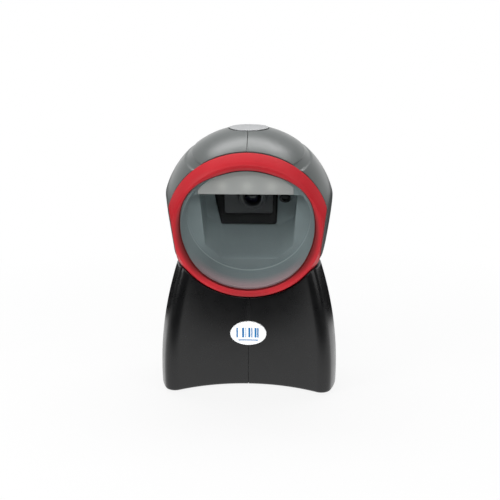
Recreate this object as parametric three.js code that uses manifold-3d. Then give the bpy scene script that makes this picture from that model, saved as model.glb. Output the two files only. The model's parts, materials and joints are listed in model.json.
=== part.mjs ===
// Hands-free desktop barcode scanner: a spherical scan head with a red window ring,
// tilting in the spherical cup of a weighted pedestal base.
//
// Frame: millimetres, +Z up, origin on the counter under the centre of the head.
// The window looks towards -Y and +X is to the right when facing along +Y.

import * as THREE from 'three';
import { mergeVertices } from 'three/addons/utils/BufferGeometryUtils.js';
import Module from 'manifold-3d';

const wasm = await Module();
wasm.setup();

// ---------------------------------------------------------------- driving dimensions

const fit = 0.3; // clearance between neighbouring pieces
const seam = 0.3; // width of the line where two moulded halves meet
const degree = Math.PI / 180;
const far = 60; // further from the head centre, or from the base axis, than any piece reaches
const roundSegments = 36; // on round surfaces that show
const hiddenSegments = 20; // on round surfaces inside

// Head
const headRadius = 48;
const headWall = 2.2;
const headCentreZ = 101.5;
const headTilt = 16.7 * degree; // the window looks this far below level
const ringSphere = 48.7; // the red ring stands a little proud of the shell
const ringPlane = 19.4; // distance from head centre to the back of the red ring
const ringLip = 27.2; // distance from head centre to the front of the red ring
const ringLipRadius = 37.1; // inner edge of the ring's lip
const ringLipThickness = 0.6;
const ringBore = 39.2; // radius of the ring behind its lip
const windowRadius = 36.3; // clear radius of the window, inside its gasket
const windowThickness = 1.8;
const ledgeDepth = 7.2; // distance from head centre to the ledge in the light shroud
const ledgeRadius = 34.3;
const wellBack = -17.5; // distance from head centre to the back wall of the light shroud

// Screws, as radii
const pilotHole = 1.2; // a screw bites into it
const passHole = 1.3; // a screw passes through it
const headHole = 2.4; // a screw's head sinks into it

// Flat on each side of the head, at right angles to a line from the head centre
const sideFlat = 44.7; // distance along that line to the flat of the shell
const ringFlat = 44; // and to the flat of the ring
const sideFlatForward = 9.8 * degree; // the line leans this far towards the window
const sideFlatDown = 5 * degree; // and this far down

// Trigger button, along its own axis from the head centre
const buttonLean = 13.2 * degree; // behind the head's own vertical
const buttonRadius = 10.75;
const buttonTop = 47.2;

// Groove round the crown of the head
const grooveHeight = 35.2;
const grooveWidth = 3.7;
const grooveDepth = 0.6;

// Base
const baseHalfWidth = 51.1; // at its widest, low down
const baseWidestZ = 10;
const baseTaper = 0.0026; // the half width falls with the square of the height
const baseBottomZ = 1.0;
const baseRimZ = 72.7;
const baseEdgeRadius = 1.5;
const frontRecess = 11.5; // from the base axis to the middle of the concave front
const frontRadius = 77;
const cornerRadius = 6;
const baseWall = 2.4;
const footWall = 4; // the wall is thicker where it stands round the bottom plate
const cupRadius = ringSphere + 0.6;
const cupWall = 3;
const floorZ = 4.2; // top of the bottom plate

// Clamp that holds the head in the cup, along a post that leans back from straight down
const clampLean = 20 * degree;
const postRadius = 5;
const postBore = 2.9;
const slotBack = 22; // degrees the head can tilt up from rest
const slotFront = 5; // degrees the head can tilt down from rest

// Cable jack in the back of the base
const jackWidth = 15;
const jackHeight = 13;
const portWidth = 12;
const portHeight = 8.6;
const jackFloorZ = 6.4;

// Badge on the concave front
const badgeWidth = 20.6;
const badgeHeight = 14;
const badgeZ = 32.4;

// ---------------------------------------------------------------- materials

function finish(color, roughness, metalness = 0) {
  return new THREE.MeshStandardMaterial({ color, roughness, metalness });
}

const greyShell = finish(0x7f8585, 0.42);
const blackShell = finish(0x2a2d2f, 0.45);
const redPlastic = finish(0xc8384a, 0.35);
const smokedGlass = finish(0x9aa6a8, 0.08);
const innerGrey = finish(0x5f6668, 0.5);
const blackPlastic = finish(0x17181a, 0.5);
const milkPlastic = finish(0xc4c2bb, 0.6);
const lensGlass = finish(0x1b2230, 0.05);
const silverPlastic = finish(0xb9bdbf, 0.3, 0.6);
const rubber = finish(0x1a1a1a, 0.9);
const steel = finish(0x8b8f92, 0.35, 0.9);
const screwSteel = finish(0x55585b, 0.4, 0.9);
const boardGreen = finish(0x1f5a3a, 0.6);
const whitePlastic = finish(0xe9ebec, 0.4);
const cableBlack = finish(0x202122, 0.7);
const copperFlex = finish(0xb5782c, 0.5);

// ---------------------------------------------------------------- solids

// A closed three.js geometry as a solid that can be joined and cut.
function solid(geometry) {
  const bare = geometry.clone();
  bare.deleteAttribute('normal');
  bare.deleteAttribute('uv');
  const merged = mergeVertices(bare, 1e-4);
  const corners = merged.index.array;
  const kept = [];
  for (let i = 0; i < corners.length; i += 3) {
    const [a, b, c] = [corners[i], corners[i + 1], corners[i + 2]];
    if (a !== b && b !== c && c !== a) kept.push(a, b, c);
  }
  return new wasm.Manifold(new wasm.Mesh({
    numProp: 3,
    vertProperties: Float32Array.from(merged.attributes.position.array),
    triVerts: Uint32Array.from(kept),
  }));
}

// A solid back as a three.js geometry.
function geometryOf(shape) {
  const mesh = shape.getMesh();
  const geometry = new THREE.BufferGeometry();
  geometry.setAttribute('position', new THREE.BufferAttribute(Float32Array.from(mesh.vertProperties), 3));
  geometry.setIndex(new THREE.BufferAttribute(Uint32Array.from(mesh.triVerts), 1));
  geometry.computeVertexNormals();
  return geometry;
}

// A named piece in a group.
function piece(parent, name, shape, material) {
  const geometry = shape.isBufferGeometry ? shape : geometryOf(shape);
  const mesh = new THREE.Mesh(geometry, material);
  mesh.name = name;
  parent.add(mesh);
  return mesh;
}

// Points of an arc in the plane, from one angle to another.
function arc(centreX, centreY, radius, from, to, steps) {
  const points = [];
  for (let i = 0; i <= steps; i += 1) {
    const angle = from + ((to - from) * i) / steps;
    points.push(new THREE.Vector2(centreX + radius * Math.cos(angle), centreY + radius * Math.sin(angle)));
  }
  return points;
}

// Points [radius, height] turned about the Z axis.
function turned(points, segments = roundSegments) {
  const profile = points.map((p) => (p.isVector2 ? p.clone() : new THREE.Vector2(p[0], p[1])));
  if (THREE.ShapeUtils.area(profile) < 0) profile.reverse();
  if (profile[0].x > 1e-6) profile.push(profile[0].clone());
  return new THREE.LatheGeometry(profile, segments).rotateX(Math.PI / 2);
}

// A turned profile that touches the axis: it has to start and end on it.
function turnedSolid(points, segments = roundSegments) {
  const profile = points.map(([r, h]) => new THREE.Vector2(r, h));
  return new THREE.LatheGeometry(profile, segments).rotateX(Math.PI / 2);
}

// A flat washer or a tube: inner and outer radius between two heights.
function ring(inner, outer, low, high, segments = roundSegments) {
  return turned([[inner, low], [outer, low], [outer, high], [inner, high]], segments);
}

// A disc or a rod between two heights.
function disc(radius, low, high, segments = roundSegments) {
  return turnedSolid([[0, low], [radius, low], [radius, high], [0, high]], segments);
}

// A box from its lowest and highest corners.
function block(low, high) {
  const size = high.map((value, i) => value - low[i]);
  const middle = high.map((value, i) => (value + low[i]) / 2);
  return new THREE.BoxGeometry(...size).translate(...middle);
}

// A flat outline raised from one height to another.
function raised(shape, low, high, curveSegments = 12) {
  const options = { depth: high - low, bevelEnabled: false, curveSegments };
  return new THREE.ExtrudeGeometry(shape, options).translate(0, 0, low);
}

// Turns a geometry made along +Z so that it points out of the window, along -Y.
function forward(geometry) {
  return geometry.rotateX(Math.PI / 2);
}

function ball(radius, segments = hiddenSegments) {
  return new THREE.SphereGeometry(radius, segments, segments / 2).rotateX(Math.PI / 2);
}

function polygon(points) {
  return new THREE.Shape(points.map(([x, y]) => new THREE.Vector2(x, y)));
}

// The part of a disc above a level chord.
function discSegment(radius, chordHeight) {
  const start = Math.asin(chordHeight / radius);
  return new THREE.Shape(arc(0, 0, radius, start, Math.PI - start, 12));
}

// A pan-head screw with its head at the low end and its shank pointing up.
function screw(headDiameter, headHeight, shankDiameter, length) {
  return turnedSolid([
    [0, -headHeight],
    [headDiameter / 2, -headHeight],
    [headDiameter / 2, 0],
    [shankDiameter / 2, 0],
    [shankDiameter / 2, length],
    [0, length],
  ], 8);
}

// ---------------------------------------------------------------- base outline

// Plan of the base, moved in by an inset: a circle with a concave front and round corners.
function basePlan(inset) {
  const steps = inset > 0 ? 16 : 26;
  const outer = baseHalfWidth - inset;
  const front = frontRadius + inset;
  const corner = cornerRadius - inset;
  const frontCentreY = -(frontRecess + frontRadius);
  const toCorner = outer - corner;
  const fromFront = front + corner;
  const cornerY = (fromFront ** 2 - toCorner ** 2 - frontCentreY ** 2) / (-2 * frontCentreY);
  const cornerX = Math.sqrt(toCorner ** 2 - cornerY ** 2);
  const cornerAngle = Math.atan2(cornerY, cornerX);
  const frontAngle = Math.atan2(cornerY - frontCentreY, cornerX);
  const points = [
    ...arc(0, 0, outer, cornerAngle, Math.PI - cornerAngle, steps),
    ...arc(-cornerX, cornerY, corner, Math.PI - cornerAngle, 2 * Math.PI - frontAngle, 5).slice(1),
    ...arc(0, frontCentreY, front, Math.PI - frontAngle, frontAngle, steps / 2).slice(1),
    ...arc(cornerX, cornerY, corner, frontAngle - Math.PI, cornerAngle, 5).slice(1, -1),
  ];
  return new THREE.Shape(points);
}

// Half width of the base at a height, as a share of its widest.
function baseShare(z) {
  const taper = baseTaper * (z - baseWidestZ) ** 2;
  const up = Math.min(z - baseBottomZ, baseEdgeRadius);
  const edge = baseEdgeRadius - Math.sqrt(baseEdgeRadius ** 2 - (baseEdgeRadius - up) ** 2);
  return (baseHalfWidth - taper - edge) / baseHalfWidth;
}

// The base outline raised through a list of heights and tapered as the base is.
function baseBody(inset, heights) {
  const steps = heights.length - 1;
  const options = { depth: steps, steps, bevelEnabled: false };
  const geometry = new THREE.ExtrudeGeometry(basePlan(inset), options);
  const place = geometry.attributes.position;
  for (let i = 0; i < place.count; i += 1) {
    const z = heights[Math.round(place.getZ(i))];
    const share = inset > 0 ? baseShare(Math.max(z, baseBottomZ + baseEdgeRadius)) : baseShare(z);
    place.setXYZ(i, place.getX(i) * share, place.getY(i) * share, z);
  }
  return geometry;
}

function heightsBetween(low, high, count) {
  return Array.from({ length: count + 1 }, (_, i) => low + ((high - low) * i) / count);
}

function atHead(geometry) {
  return geometry.translate(0, 0, headCentreZ);
}

// Moves a geometry made along the clamp post, with the head centre at its origin.
function alongPost(geometry) {
  return atHead(geometry.rotateX(clampLean));
}

// ---------------------------------------------------------------- base pieces

const bossRadius = 4;
const bossReach = 43;
const bossTop = 20;
const bossAngles = [-16, 50, 130, 196];
const ribHalf = 1.5; // half the thickness of the ribs that carry screw bosses

function bossPlace(angle) {
  return [bossReach * Math.cos(angle * degree), bossReach * Math.sin(angle * degree)];
}

// Middle of the concave front at a height.
function frontFaceY(z) {
  return -frontRecess * baseShare(z);
}

const badgeFloorY = frontFaceY(badgeZ) + 1;
const linerFrom = 30 * degree;
const linerTo = 40 * degree;
const linerDepth = 1.9;
const linerFrontY = -3; // the liner is a horseshoe, open at the front where the cup is low

// A band of a spherical shell between two angles from straight down.
function sphericalBand(inner, outer, from, to, steps) {
  const start = -Math.PI / 2 + from;
  const end = -Math.PI / 2 + to;
  const profile = [...arc(0, 0, outer, start, end, steps), ...arc(0, 0, inner, end, start, steps)];
  return turned(profile, hiddenSegments);
}

// Everything behind a plane that faces the front.
function behind(y) {
  return block([-far, y, 0], [far, far, headCentreZ]);
}

function badgeOutline(clearance) {
  const outline = new THREE.Shape();
  outline.absellipse(0, 0, badgeWidth / 2 + clearance, badgeHeight / 2 + clearance, 0, 2 * Math.PI);
  return outline;
}

function badgeAt(geometry) {
  return forward(geometry).translate(0, badgeFloorY, badgeZ);
}

function baseShells(parent) {
  const lowHeights = [0, 0.12, 0.45, 1].map((share) => baseBottomZ + share * baseEdgeRadius);
  const outside = baseBody(0, [...lowHeights, ...heightsBetween(baseWidestZ, baseRimZ, 6)]);
  const inside = baseBody(baseWall, heightsBetween(floorZ + fit, baseRimZ, 4));
  const cup = solid(atHead(ball(cupRadius + cupWall)));
  let shell = solid(outside).subtract(solid(inside).subtract(cup));
  shell = shell.subtract(solid(baseBody(footWall, [0, floorZ + 2 * fit])));
  shell = shell.subtract(solid(atHead(ball(cupRadius, roundSegments))));
  for (const angle of bossAngles) {
    const [x, y] = bossPlace(angle);
    const rib = block([bossReach, -ribHalf, floorZ + 2 * fit], [48.8, ribHalf, bossTop]);
    shell = shell.add(solid(disc(bossRadius, floorZ + fit, bossTop, 12).translate(x, y, 0)));
    shell = shell.add(solid(rib.rotateZ(angle * degree)));
    shell = shell.subtract(solid(disc(pilotHole, floorZ, bossTop - 4, 8).translate(x, y, 0)));
  }
  const seat = atHead(sphericalBand(cupRadius - 1, cupRadius + linerDepth, linerFrom, linerTo, 3));
  shell = shell.subtract(solid(seat).intersect(solid(behind(linerFrontY))));
  shell = shell.subtract(solid(alongPost(disc(postRadius + 0.4, -far, -40, 20))));
  for (const x of [-flangeScrewX, flangeScrewX]) {
    const hole = disc(passHole, -far, -cupRadius - 0.6, 8).translate(x, 0, 0);
    shell = shell.subtract(solid(alongPost(hole)));
  }
  const port = block(
    [-jackWidth / 2 - fit, 40, jackFloorZ - fit],
    [jackWidth / 2 + fit, far, jackFloorZ + jackHeight + fit],
  );
  shell = shell.subtract(solid(port));
  shell = shell.subtract(solid(badgeAt(raised(badgeOutline(fit), 0, 10))));
  const reach = baseHalfWidth + 5;
  const left = block([-reach, -reach, -5], [-seam / 2, reach, headCentreZ]);
  const right = block([seam / 2, -reach, -5], [reach, reach, headCentreZ]);
  piece(parent, 'base_shell_left', shell.intersect(solid(left)), blackShell);
  piece(parent, 'base_shell_right', shell.intersect(solid(right)), blackShell);
}

const soleThickness = 1.4;
const soleInset = 4.6;

function bottomPieces(parent) {
  piece(parent, 'rubber_sole', baseBody(soleInset, [0, soleThickness]), rubber);
  let plate = solid(baseBody(footWall + fit, [soleThickness + fit, floorZ]));
  for (const angle of bossAngles) {
    const [x, y] = bossPlace(angle);
    plate = plate.subtract(solid(disc(passHole, 0, 10, 8).translate(x, y, 0)));
    plate = plate.subtract(solid(disc(headHole, 0, 2.9, 10).translate(x, y, 0)));
  }
  piece(parent, 'bottom_plate', plate, blackPlastic);
  bossAngles.forEach((angle, i) => {
    const [x, y] = bossPlace(angle);
    const body = screw(4.2, 1, 2, 9);
    piece(parent, `bottom_screw_${i + 1}`, body, screwSteel).position.set(x, y, 2.85);
  });
  const ballast = polygon([[-36, -4], [36, -4], [34, 20], [22, 30], [-22, 30], [-34, 20]]);
  piece(parent, 'ballast_plate', raised(ballast, floorZ + fit, floorZ + 6), steel);
}

function badge(parent) {
  piece(parent, 'badge_plate', badgeAt(raised(badgeOutline(0), fit, fit + 1)), whitePlastic);
}

function cradleLiner(parent) {
  const clear = 0.5 * degree;
  const inner = headRadius + 0.5;
  const outer = cupRadius + linerDepth - fit;
  const band = atHead(sphericalBand(inner, outer, linerFrom + clear, linerTo - clear, 3));
  const liner = solid(band).intersect(solid(behind(linerFrontY + fit)));
  piece(parent, 'cradle_liner', liner, rubber);
}

function cableJack(parent) {
  const front = 34;
  const back = 49;
  const middle = jackFloorZ + jackHeight / 2;
  const half = jackWidth / 2;
  const body = solid(block([-half, front, jackFloorZ], [half, back, jackFloorZ + jackHeight]));
  const port = solid(block(
    [-portWidth / 2, front + 2, middle - portHeight / 2],
    [portWidth / 2, back + 1, middle + portHeight / 2],
  ));
  piece(parent, 'cable_jack', body.subtract(port), blackPlastic);
  const board = block([-14, 31, floorZ + fit], [14, 44, jackFloorZ - fit]);
  piece(parent, 'jack_board', board, boardGreen);
}

// ---------------------------------------------------------------- clamp in the cup

const flangeScrewX = 7.4;
const flangeRadius = 9.6;
const saddleOuter = headRadius - headWall - 0.5;
const saddleInner = saddleOuter - 2;
const postTop = 37.4;
const postFoot = 60;
const flangeTop = cupRadius + cupWall + 0.4;
const flangeLow = flangeTop + 2;

function clampPieces(parent) {
  const clamp = new THREE.Group();
  clamp.position.set(0, 0, headCentreZ);
  clamp.rotation.x = clampLean;
  parent.add(clamp);

  const tube = turned([
    [postBore, -postFoot], [postRadius, -postFoot], [postRadius, -flangeLow], [flangeRadius, -flangeLow],
    [flangeRadius, -flangeTop],
    [postRadius, -flangeTop], [postRadius, -postTop], [postBore, -postTop],
  ], 20);
  let post = solid(tube);
  for (const x of [-flangeScrewX, flangeScrewX]) {
    post = post.subtract(solid(disc(passHole, -far, -50, 8).translate(x, 0, 0)));
  }
  piece(clamp, 'tilt_post', post, steel);
  [-flangeScrewX, flangeScrewX].forEach((x, i) => {
    const body = screw(3.8, 1, 2, 4);
    piece(clamp, `post_screw_${i + 1}`, body, screwSteel).position.set(x, 0, -flangeLow - 0.05);
  });

  const shellBand = solid(ball(saddleOuter, roundSegments)).subtract(solid(ball(saddleInner, roundSegments)));
  let saddle = shellBand.intersect(solid(block([-11, -9, -far], [11, 9, -30])));
  saddle = saddle.subtract(solid(disc(postRadius + 0.4, -far, -30, 20)));
  piece(clamp, 'clamp_saddle', saddle, blackPlastic);

  piece(clamp, 'wave_spring', waveWasher(postRadius + 0.4, 7.6, -42, 0.3), steel);

  const nutShape = new THREE.Shape(arc(0, 0, 7.2, 0, 2 * Math.PI, 6).slice(0, 6));
  const nut = solid(raised(nutShape, -41.1, -38.3));
  piece(clamp, 'clamp_nut', nut.subtract(solid(disc(postRadius + 0.4, -45, -30, 20))), steel);
}

// A spring washer with three waves round it.
function waveWasher(inner, outer, height, wave) {
  const thickness = 0.4;
  const geometry = ring(inner, outer, height, height + thickness, 18);
  const place = geometry.attributes.position;
  for (let i = 0; i < place.count; i += 1) {
    const angle = Math.atan2(place.getY(i), place.getX(i));
    place.setZ(i, place.getZ(i) + wave * Math.sin(3 * angle));
  }
  return geometry;
}

// A round cable along a curve through points.
function cable(points, radius) {
  const path = new THREE.CatmullRomCurve3(points.map((p) => new THREE.Vector3(...p)));
  const section = new THREE.Shape(arc(0, 0, radius, 0, 2 * Math.PI, 8).slice(0, 8));
  return new THREE.ExtrudeGeometry(section, { steps: 14, bevelEnabled: false, extrudePath: path });
}

// A point on the clamp post's axis, a distance from the head centre.
function onPost(distance) {
  return [0, distance * Math.sin(clampLean), headCentreZ - distance * Math.cos(clampLean)];
}

function lowerHarness(parent) {
  const fromJack = [[0, 33.6, 14.5], [0, 27.5, 16], [0, 23, 28]];
  const throughPost = [58, 50, 42, 36.5].map(onPost);
  piece(parent, 'harness_lower', cable([...fromJack, ...throughPost], 1.7), cableBlack);
}

// ---------------------------------------------------------------- head pieces

// Stack behind the ring's lip: gasket, window and the front of the light shroud
const lipBack = ringLip - ringLipThickness;
const gasketFront = lipBack - 0.2;
const gasketBack = gasketFront - 0.6;
const windowFront = gasketBack - 0.2;
const windowBack = windowFront - windowThickness;
const shroudFront = windowBack - fit;

const earRadius = 39.5;
const earAngles = [42, 138, 222, 318];
const earBack = 15.8;
const earFront = 17.2;
const earBossLength = 8.5;
const earBossRadius = 2.4;

function earPlace(angle) {
  return [earRadius * Math.cos(angle * degree), earRadius * Math.sin(angle * degree)];
}

// Sector cut through the shell so that the head can tilt past the clamp post.
function postSlot() {
  const half = Math.asin((postRadius + 0.9) / headRadius);
  const middle = -Math.PI / 2 + headTilt - clampLean;
  const from = middle - slotBack * degree - half;
  const to = middle + slotFront * degree + half;
  const outline = new THREE.Shape([...arc(0, 0, 40, from, to, 8), ...arc(0, 0, 56, to, from, 8)]);
  const slot = raised(outline, -postRadius - 0.8, postRadius + 0.8);
  // The outline's x points out of the window and its y up.
  return slot.rotateX(Math.PI / 2).rotateZ(-Math.PI / 2);
}

// Everything beyond the flat on one side of the head: side is -1 on the left and 1 on the right.
function beyondFlat(side, distance) {
  const [low, high] = side > 0 ? [distance, far] : [-far, -distance];
  const slab = block([low, -far, -far], [high, far, far]);
  return solid(slab.rotateY(side * sideFlatDown).rotateZ(-side * sideFlatForward));
}

// A solid of the head with both side flats taken off.
function flatSided(shape, distance) {
  return shape.subtract(beyondFlat(-1, distance)).subtract(beyondFlat(1, distance));
}

function headShells(parent) {
  const inner = headRadius - headWall;
  const outside = flatSided(solid(ball(headRadius, roundSegments)), sideFlat);
  const inside = flatSided(solid(ball(inner, roundSegments)), sideFlat - headWall);
  let shell = outside.subtract(inside);
  const lipCut = block([-far, -far, -far], [far, -ringPlane + 0.45, far]);
  shell = shell.subtract(solid(lipCut));
  for (const angle of earAngles) {
    const [x, z] = earPlace(angle);
    const bossLow = earBack - fit - earBossLength;
    const boss = disc(earBossRadius, bossLow, earBack - fit, 12).translate(x, z, 0);
    const rib = block([earRadius, -ribHalf, bossLow], [headRadius, ribHalf, earBack - fit]);
    const post = solid(forward(boss)).add(solid(forward(rib.rotateZ(angle * degree))));
    shell = shell.add(post.intersect(solid(ball(headRadius - 1))));
    shell = shell.subtract(solid(forward(disc(pilotHole, 9, 20, 8).translate(x, z, 0))));
  }
  const grooveFloor = ball(headRadius - grooveDepth, roundSegments);
  const grooveBand = solid(ball(headRadius + 4)).subtract(solid(grooveFloor));
  const half = grooveWidth / 2;
  const slab = block([-far, -far, grooveHeight - half], [far, far, grooveHeight + half]);
  shell = shell.subtract(grooveBand.intersect(solid(slab)));
  const buttonHole = disc(buttonRadius + 0.4, 30, far, 32).rotateX(-buttonLean);
  shell = shell.subtract(solid(buttonHole));
  shell = shell.subtract(solid(postSlot()));
  const left = block([-far, -far, -far], [-seam / 2, far, far]);
  const right = block([seam / 2, -far, -far], [far, far, far]);
  piece(parent, 'head_shell_left', shell.intersect(solid(left)), greyShell);
  piece(parent, 'head_shell_right', shell.intersect(solid(right)), greyShell);
}

// The red ring: its outside carries on the sphere and the side flats, and its lip holds the window.
function bezelRing(parent) {
  const from = Math.asin(ringPlane / ringSphere);
  const shoulder = Math.asin((ringLip - 1.2) / ringSphere);
  const shoulderRadius = ringSphere * Math.cos(shoulder);
  const profile = [
    ...arc(0, 0, ringSphere, from, shoulder, 6),
    [shoulderRadius - 0.6, ringLip - 0.35],
    [shoulderRadius - 1.6, ringLip],
    [ringLipRadius + 0.3, ringLip],
    [ringLipRadius, ringLip - 0.3],
    [ringLipRadius, lipBack],
    [ringBore, lipBack],
    [ringBore, ringPlane],
  ];
  const band = solid(forward(turned(profile)));
  piece(parent, 'bezel_ring', flatSided(band, ringFlat), redPlastic);
}

function windowPieces(parent) {
  const outer = ringBore - 0.4;
  piece(parent, 'window', forward(disc(outer, windowBack, windowFront)), smokedGlass);
  const gasket = ring(windowRadius, outer, gasketBack, gasketFront);
  piece(parent, 'window_gasket', forward(gasket), rubber);
}

const wellTopHalf = 27.3; // half width of the well at its top
const wellRoof = 19.2; // heights above and below the head's axis
const wellDepth = 27;
const wellDepthAtBack = 18.5;

// Outline of the well behind the ledge, wider at the top, with clipped lower corners.
function wellOutline(wall) {
  return polygon([
    [-wellTopHalf - wall, wellRoof + 2], [-25 - wall, -18.5 - wall / 2], [-16.5 - wall / 2, -wellDepth - wall],
    [16.5 + wall / 2, -wellDepth - wall], [25 + wall, -18.5 - wall / 2], [wellTopHalf + wall, wellRoof + 2],
  ]);
}

// Side view of the well: its floor rises towards the back.
function wellSide(wall, front) {
  const side = polygon([
    [front, -wellDepth - wall], [front, wellRoof + wall],
    [wellBack - wall, wellRoof + wall], [wellBack - wall, -wellDepthAtBack - wall],
  ]);
  return raised(side, -35, 35).rotateX(Math.PI / 2).rotateZ(-Math.PI / 2);
}

const housingOutline = [[-20.5, 13], [-17.3, -17.4], [15.4, -17.4], [16.2, 13]];
const standoffs = [[-23.5, 12], [23.5, 12]];
const boardFront = -29.4;
const boardThickness = 1.6;
const shroudWall = 1.4;
const funnelRadius = 36.1; // the shroud's funnel where it meets the window
const shroudRadius = 38.9; // outside of the shroud's front flange

function lightShroud(parent) {
  const tube = turned([
    [ledgeRadius - 1, ledgeDepth - shroudWall], [ledgeRadius + shroudWall, ledgeDepth - shroudWall],
    [funnelRadius + shroudWall - 0.3, earFront], [shroudRadius, earFront],
    [shroudRadius, shroudFront], [funnelRadius, shroudFront],
    [ledgeRadius, ledgeDepth], [ledgeRadius - 1, ledgeDepth],
  ]);
  const ledge = disc(ledgeRadius, ledgeDepth - shroudWall, ledgeDepth);
  let shroud = solid(forward(tube)).add(solid(forward(ledge)));
  const outer = solid(forward(raised(wellOutline(shroudWall), wellBack - shroudWall, ledgeDepth - 0.2)));
  shroud = shroud.add(outer.intersect(solid(wellSide(shroudWall, ledgeDepth - 0.2))));
  for (const [x, z] of standoffs) {
    shroud = shroud.add(solid(forward(disc(2.6, boardFront + fit, wellBack - 1, 12).translate(x, z, 0))));
    const pilot = disc(pilotHole, boardFront - 1, boardFront + 5, 10).translate(x, z, 0);
    shroud = shroud.subtract(solid(forward(pilot)));
  }
  for (const angle of earAngles) {
    const [x, z] = earPlace(angle);
    shroud = shroud.add(solid(forward(disc(2.5, earBack, earFront, 12).translate(x, z, 0))));
    shroud = shroud.add(solid(forward(earArm(angle))));
    shroud = shroud.subtract(solid(forward(disc(passHole, earBack - 1, 25, 8).translate(x, z, 0))));
    shroud = shroud.subtract(solid(forward(disc(headHole, earFront, 25, 10).translate(x, z, 0))));
  }
  const cavity = solid(forward(raised(wellOutline(0), wellBack, 12)));
  shroud = shroud.subtract(cavity.intersect(solid(wellSide(0, 12))));
  const opening = new THREE.Shape(grown(housingOutline, fit));
  shroud = shroud.subtract(solid(forward(raised(opening, wellBack - 4, wellBack + 4))));
  const aimerHole = disc(2.6, wellBack - 4, wellBack + 4, 16).translate(aimerX, aimerZ, 0);
  shroud = shroud.subtract(solid(forward(aimerHole)));
  piece(parent, 'light_shroud', shroud, innerGrey);
}

// Arm that carries a screw ear on the outside of the shroud's tube.
function earArm(angle) {
  const arm = block([35.6, -2.4, earBack], [earRadius, 2.4, earFront]);
  return arm.rotateZ(angle * degree);
}

// A convex outline moved out a little on every side.
function grown(points, by) {
  const middleX = points.reduce((sum, [x]) => sum + x, 0) / points.length;
  const middleY = points.reduce((sum, [, y]) => sum + y, 0) / points.length;
  return points.map(([x, y]) => new THREE.Vector2(
    x + Math.sign(x - middleX) * by,
    y + Math.sign(y - middleY) * by,
  ));
}

function shroudScrews(parent) {
  earAngles.forEach((angle, i) => {
    const [x, z] = earPlace(angle);
    const body = forward(screw(4, 1.1, 1.8, 5).rotateX(Math.PI));
    piece(parent, `shroud_screw_${i + 1}`, body, screwSteel).position.set(x, -earFront - 0.05, z);
  });
}

// ---------------------------------------------------------------- illumination under the visor

const visorRadius = 35.3;
const visorRim = 1.4; // width of the band over the diffuser
const visorChord = 19.4; // height of the visor's level lower edge
const visorBack = 18.8;
const visorFront = 20.8;
const panelLeft = -26.5; // the diffuser's opening, with a cheek of the visor on each side
const panelRight = 24.8;
const lampPitch = 13;

// The part of a disc above a level chord, between the sides of the diffuser's opening.
function panelSolid(radius, chordHeight, inset, low, high) {
  const whole = solid(raised(discSegment(radius, chordHeight), low, high));
  return whole.intersect(solid(block([panelLeft + inset, 0, low], [panelRight - inset, far, high])));
}

function visorPieces(parent) {
  const plate = solid(raised(discSegment(visorRadius, visorChord), visorBack, visorFront));
  const opening = panelSolid(visorRadius - visorRim, visorChord - 1, 0, visorBack - 1, visorFront + 1);
  const roof = block([-wellTopHalf, visorChord, ledgeDepth + fit], [wellTopHalf, visorChord + 1, visorBack + 0.2]);
  const visor = plate.subtract(opening).add(solid(roof));
  piece(parent, 'visor_frame', forward(geometryOf(visor)), innerGrey);
  const panelRadius = visorRadius - visorRim - fit;
  const panel = panelSolid(panelRadius, visorChord + 0.1, fit, visorBack + 0.4, visorFront - 0.4);
  piece(parent, 'diffuser', forward(geometryOf(panel)), milkPlastic);
  const ledBoard = raised(discSegment(32.8, visorChord + 1.4), 11.6, 12.8);
  piece(parent, 'led_board', forward(ledBoard), whitePlastic);
  ['led_left', 'led_centre', 'led_right'].forEach((name, i) => {
    const x = (i - 1) * lampPitch;
    piece(parent, name, forward(block([x - 2.5, 22, 13.1], [x + 2.5, 27, 14.6])), milkPlastic);
  });
}

// ---------------------------------------------------------------- camera engine

const lensX = 1.3;
const lensZ = 0;
const aimerX = 20.4;
const aimerZ = -0.6;
const housingFront = -15.6;
const housingBack = -25.4;
const faceFront = -17.4; // the housing's recessed face
const faceOutline = [[-15, 11], [-15, -10.3], [13.1, -10.3], [13.1, 11]];
const lensPocket = 8.5;
const barrelRadius = 8.1;
const barrelMouth = 4.9;
const barrelFront = -15.4;
const barrelBack = -20.9;
const lensCurve = 7.6; // radius of the lens's dome
const engineScrews = [[-17.5, 15.6], [13.2, 15.6]];

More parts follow.
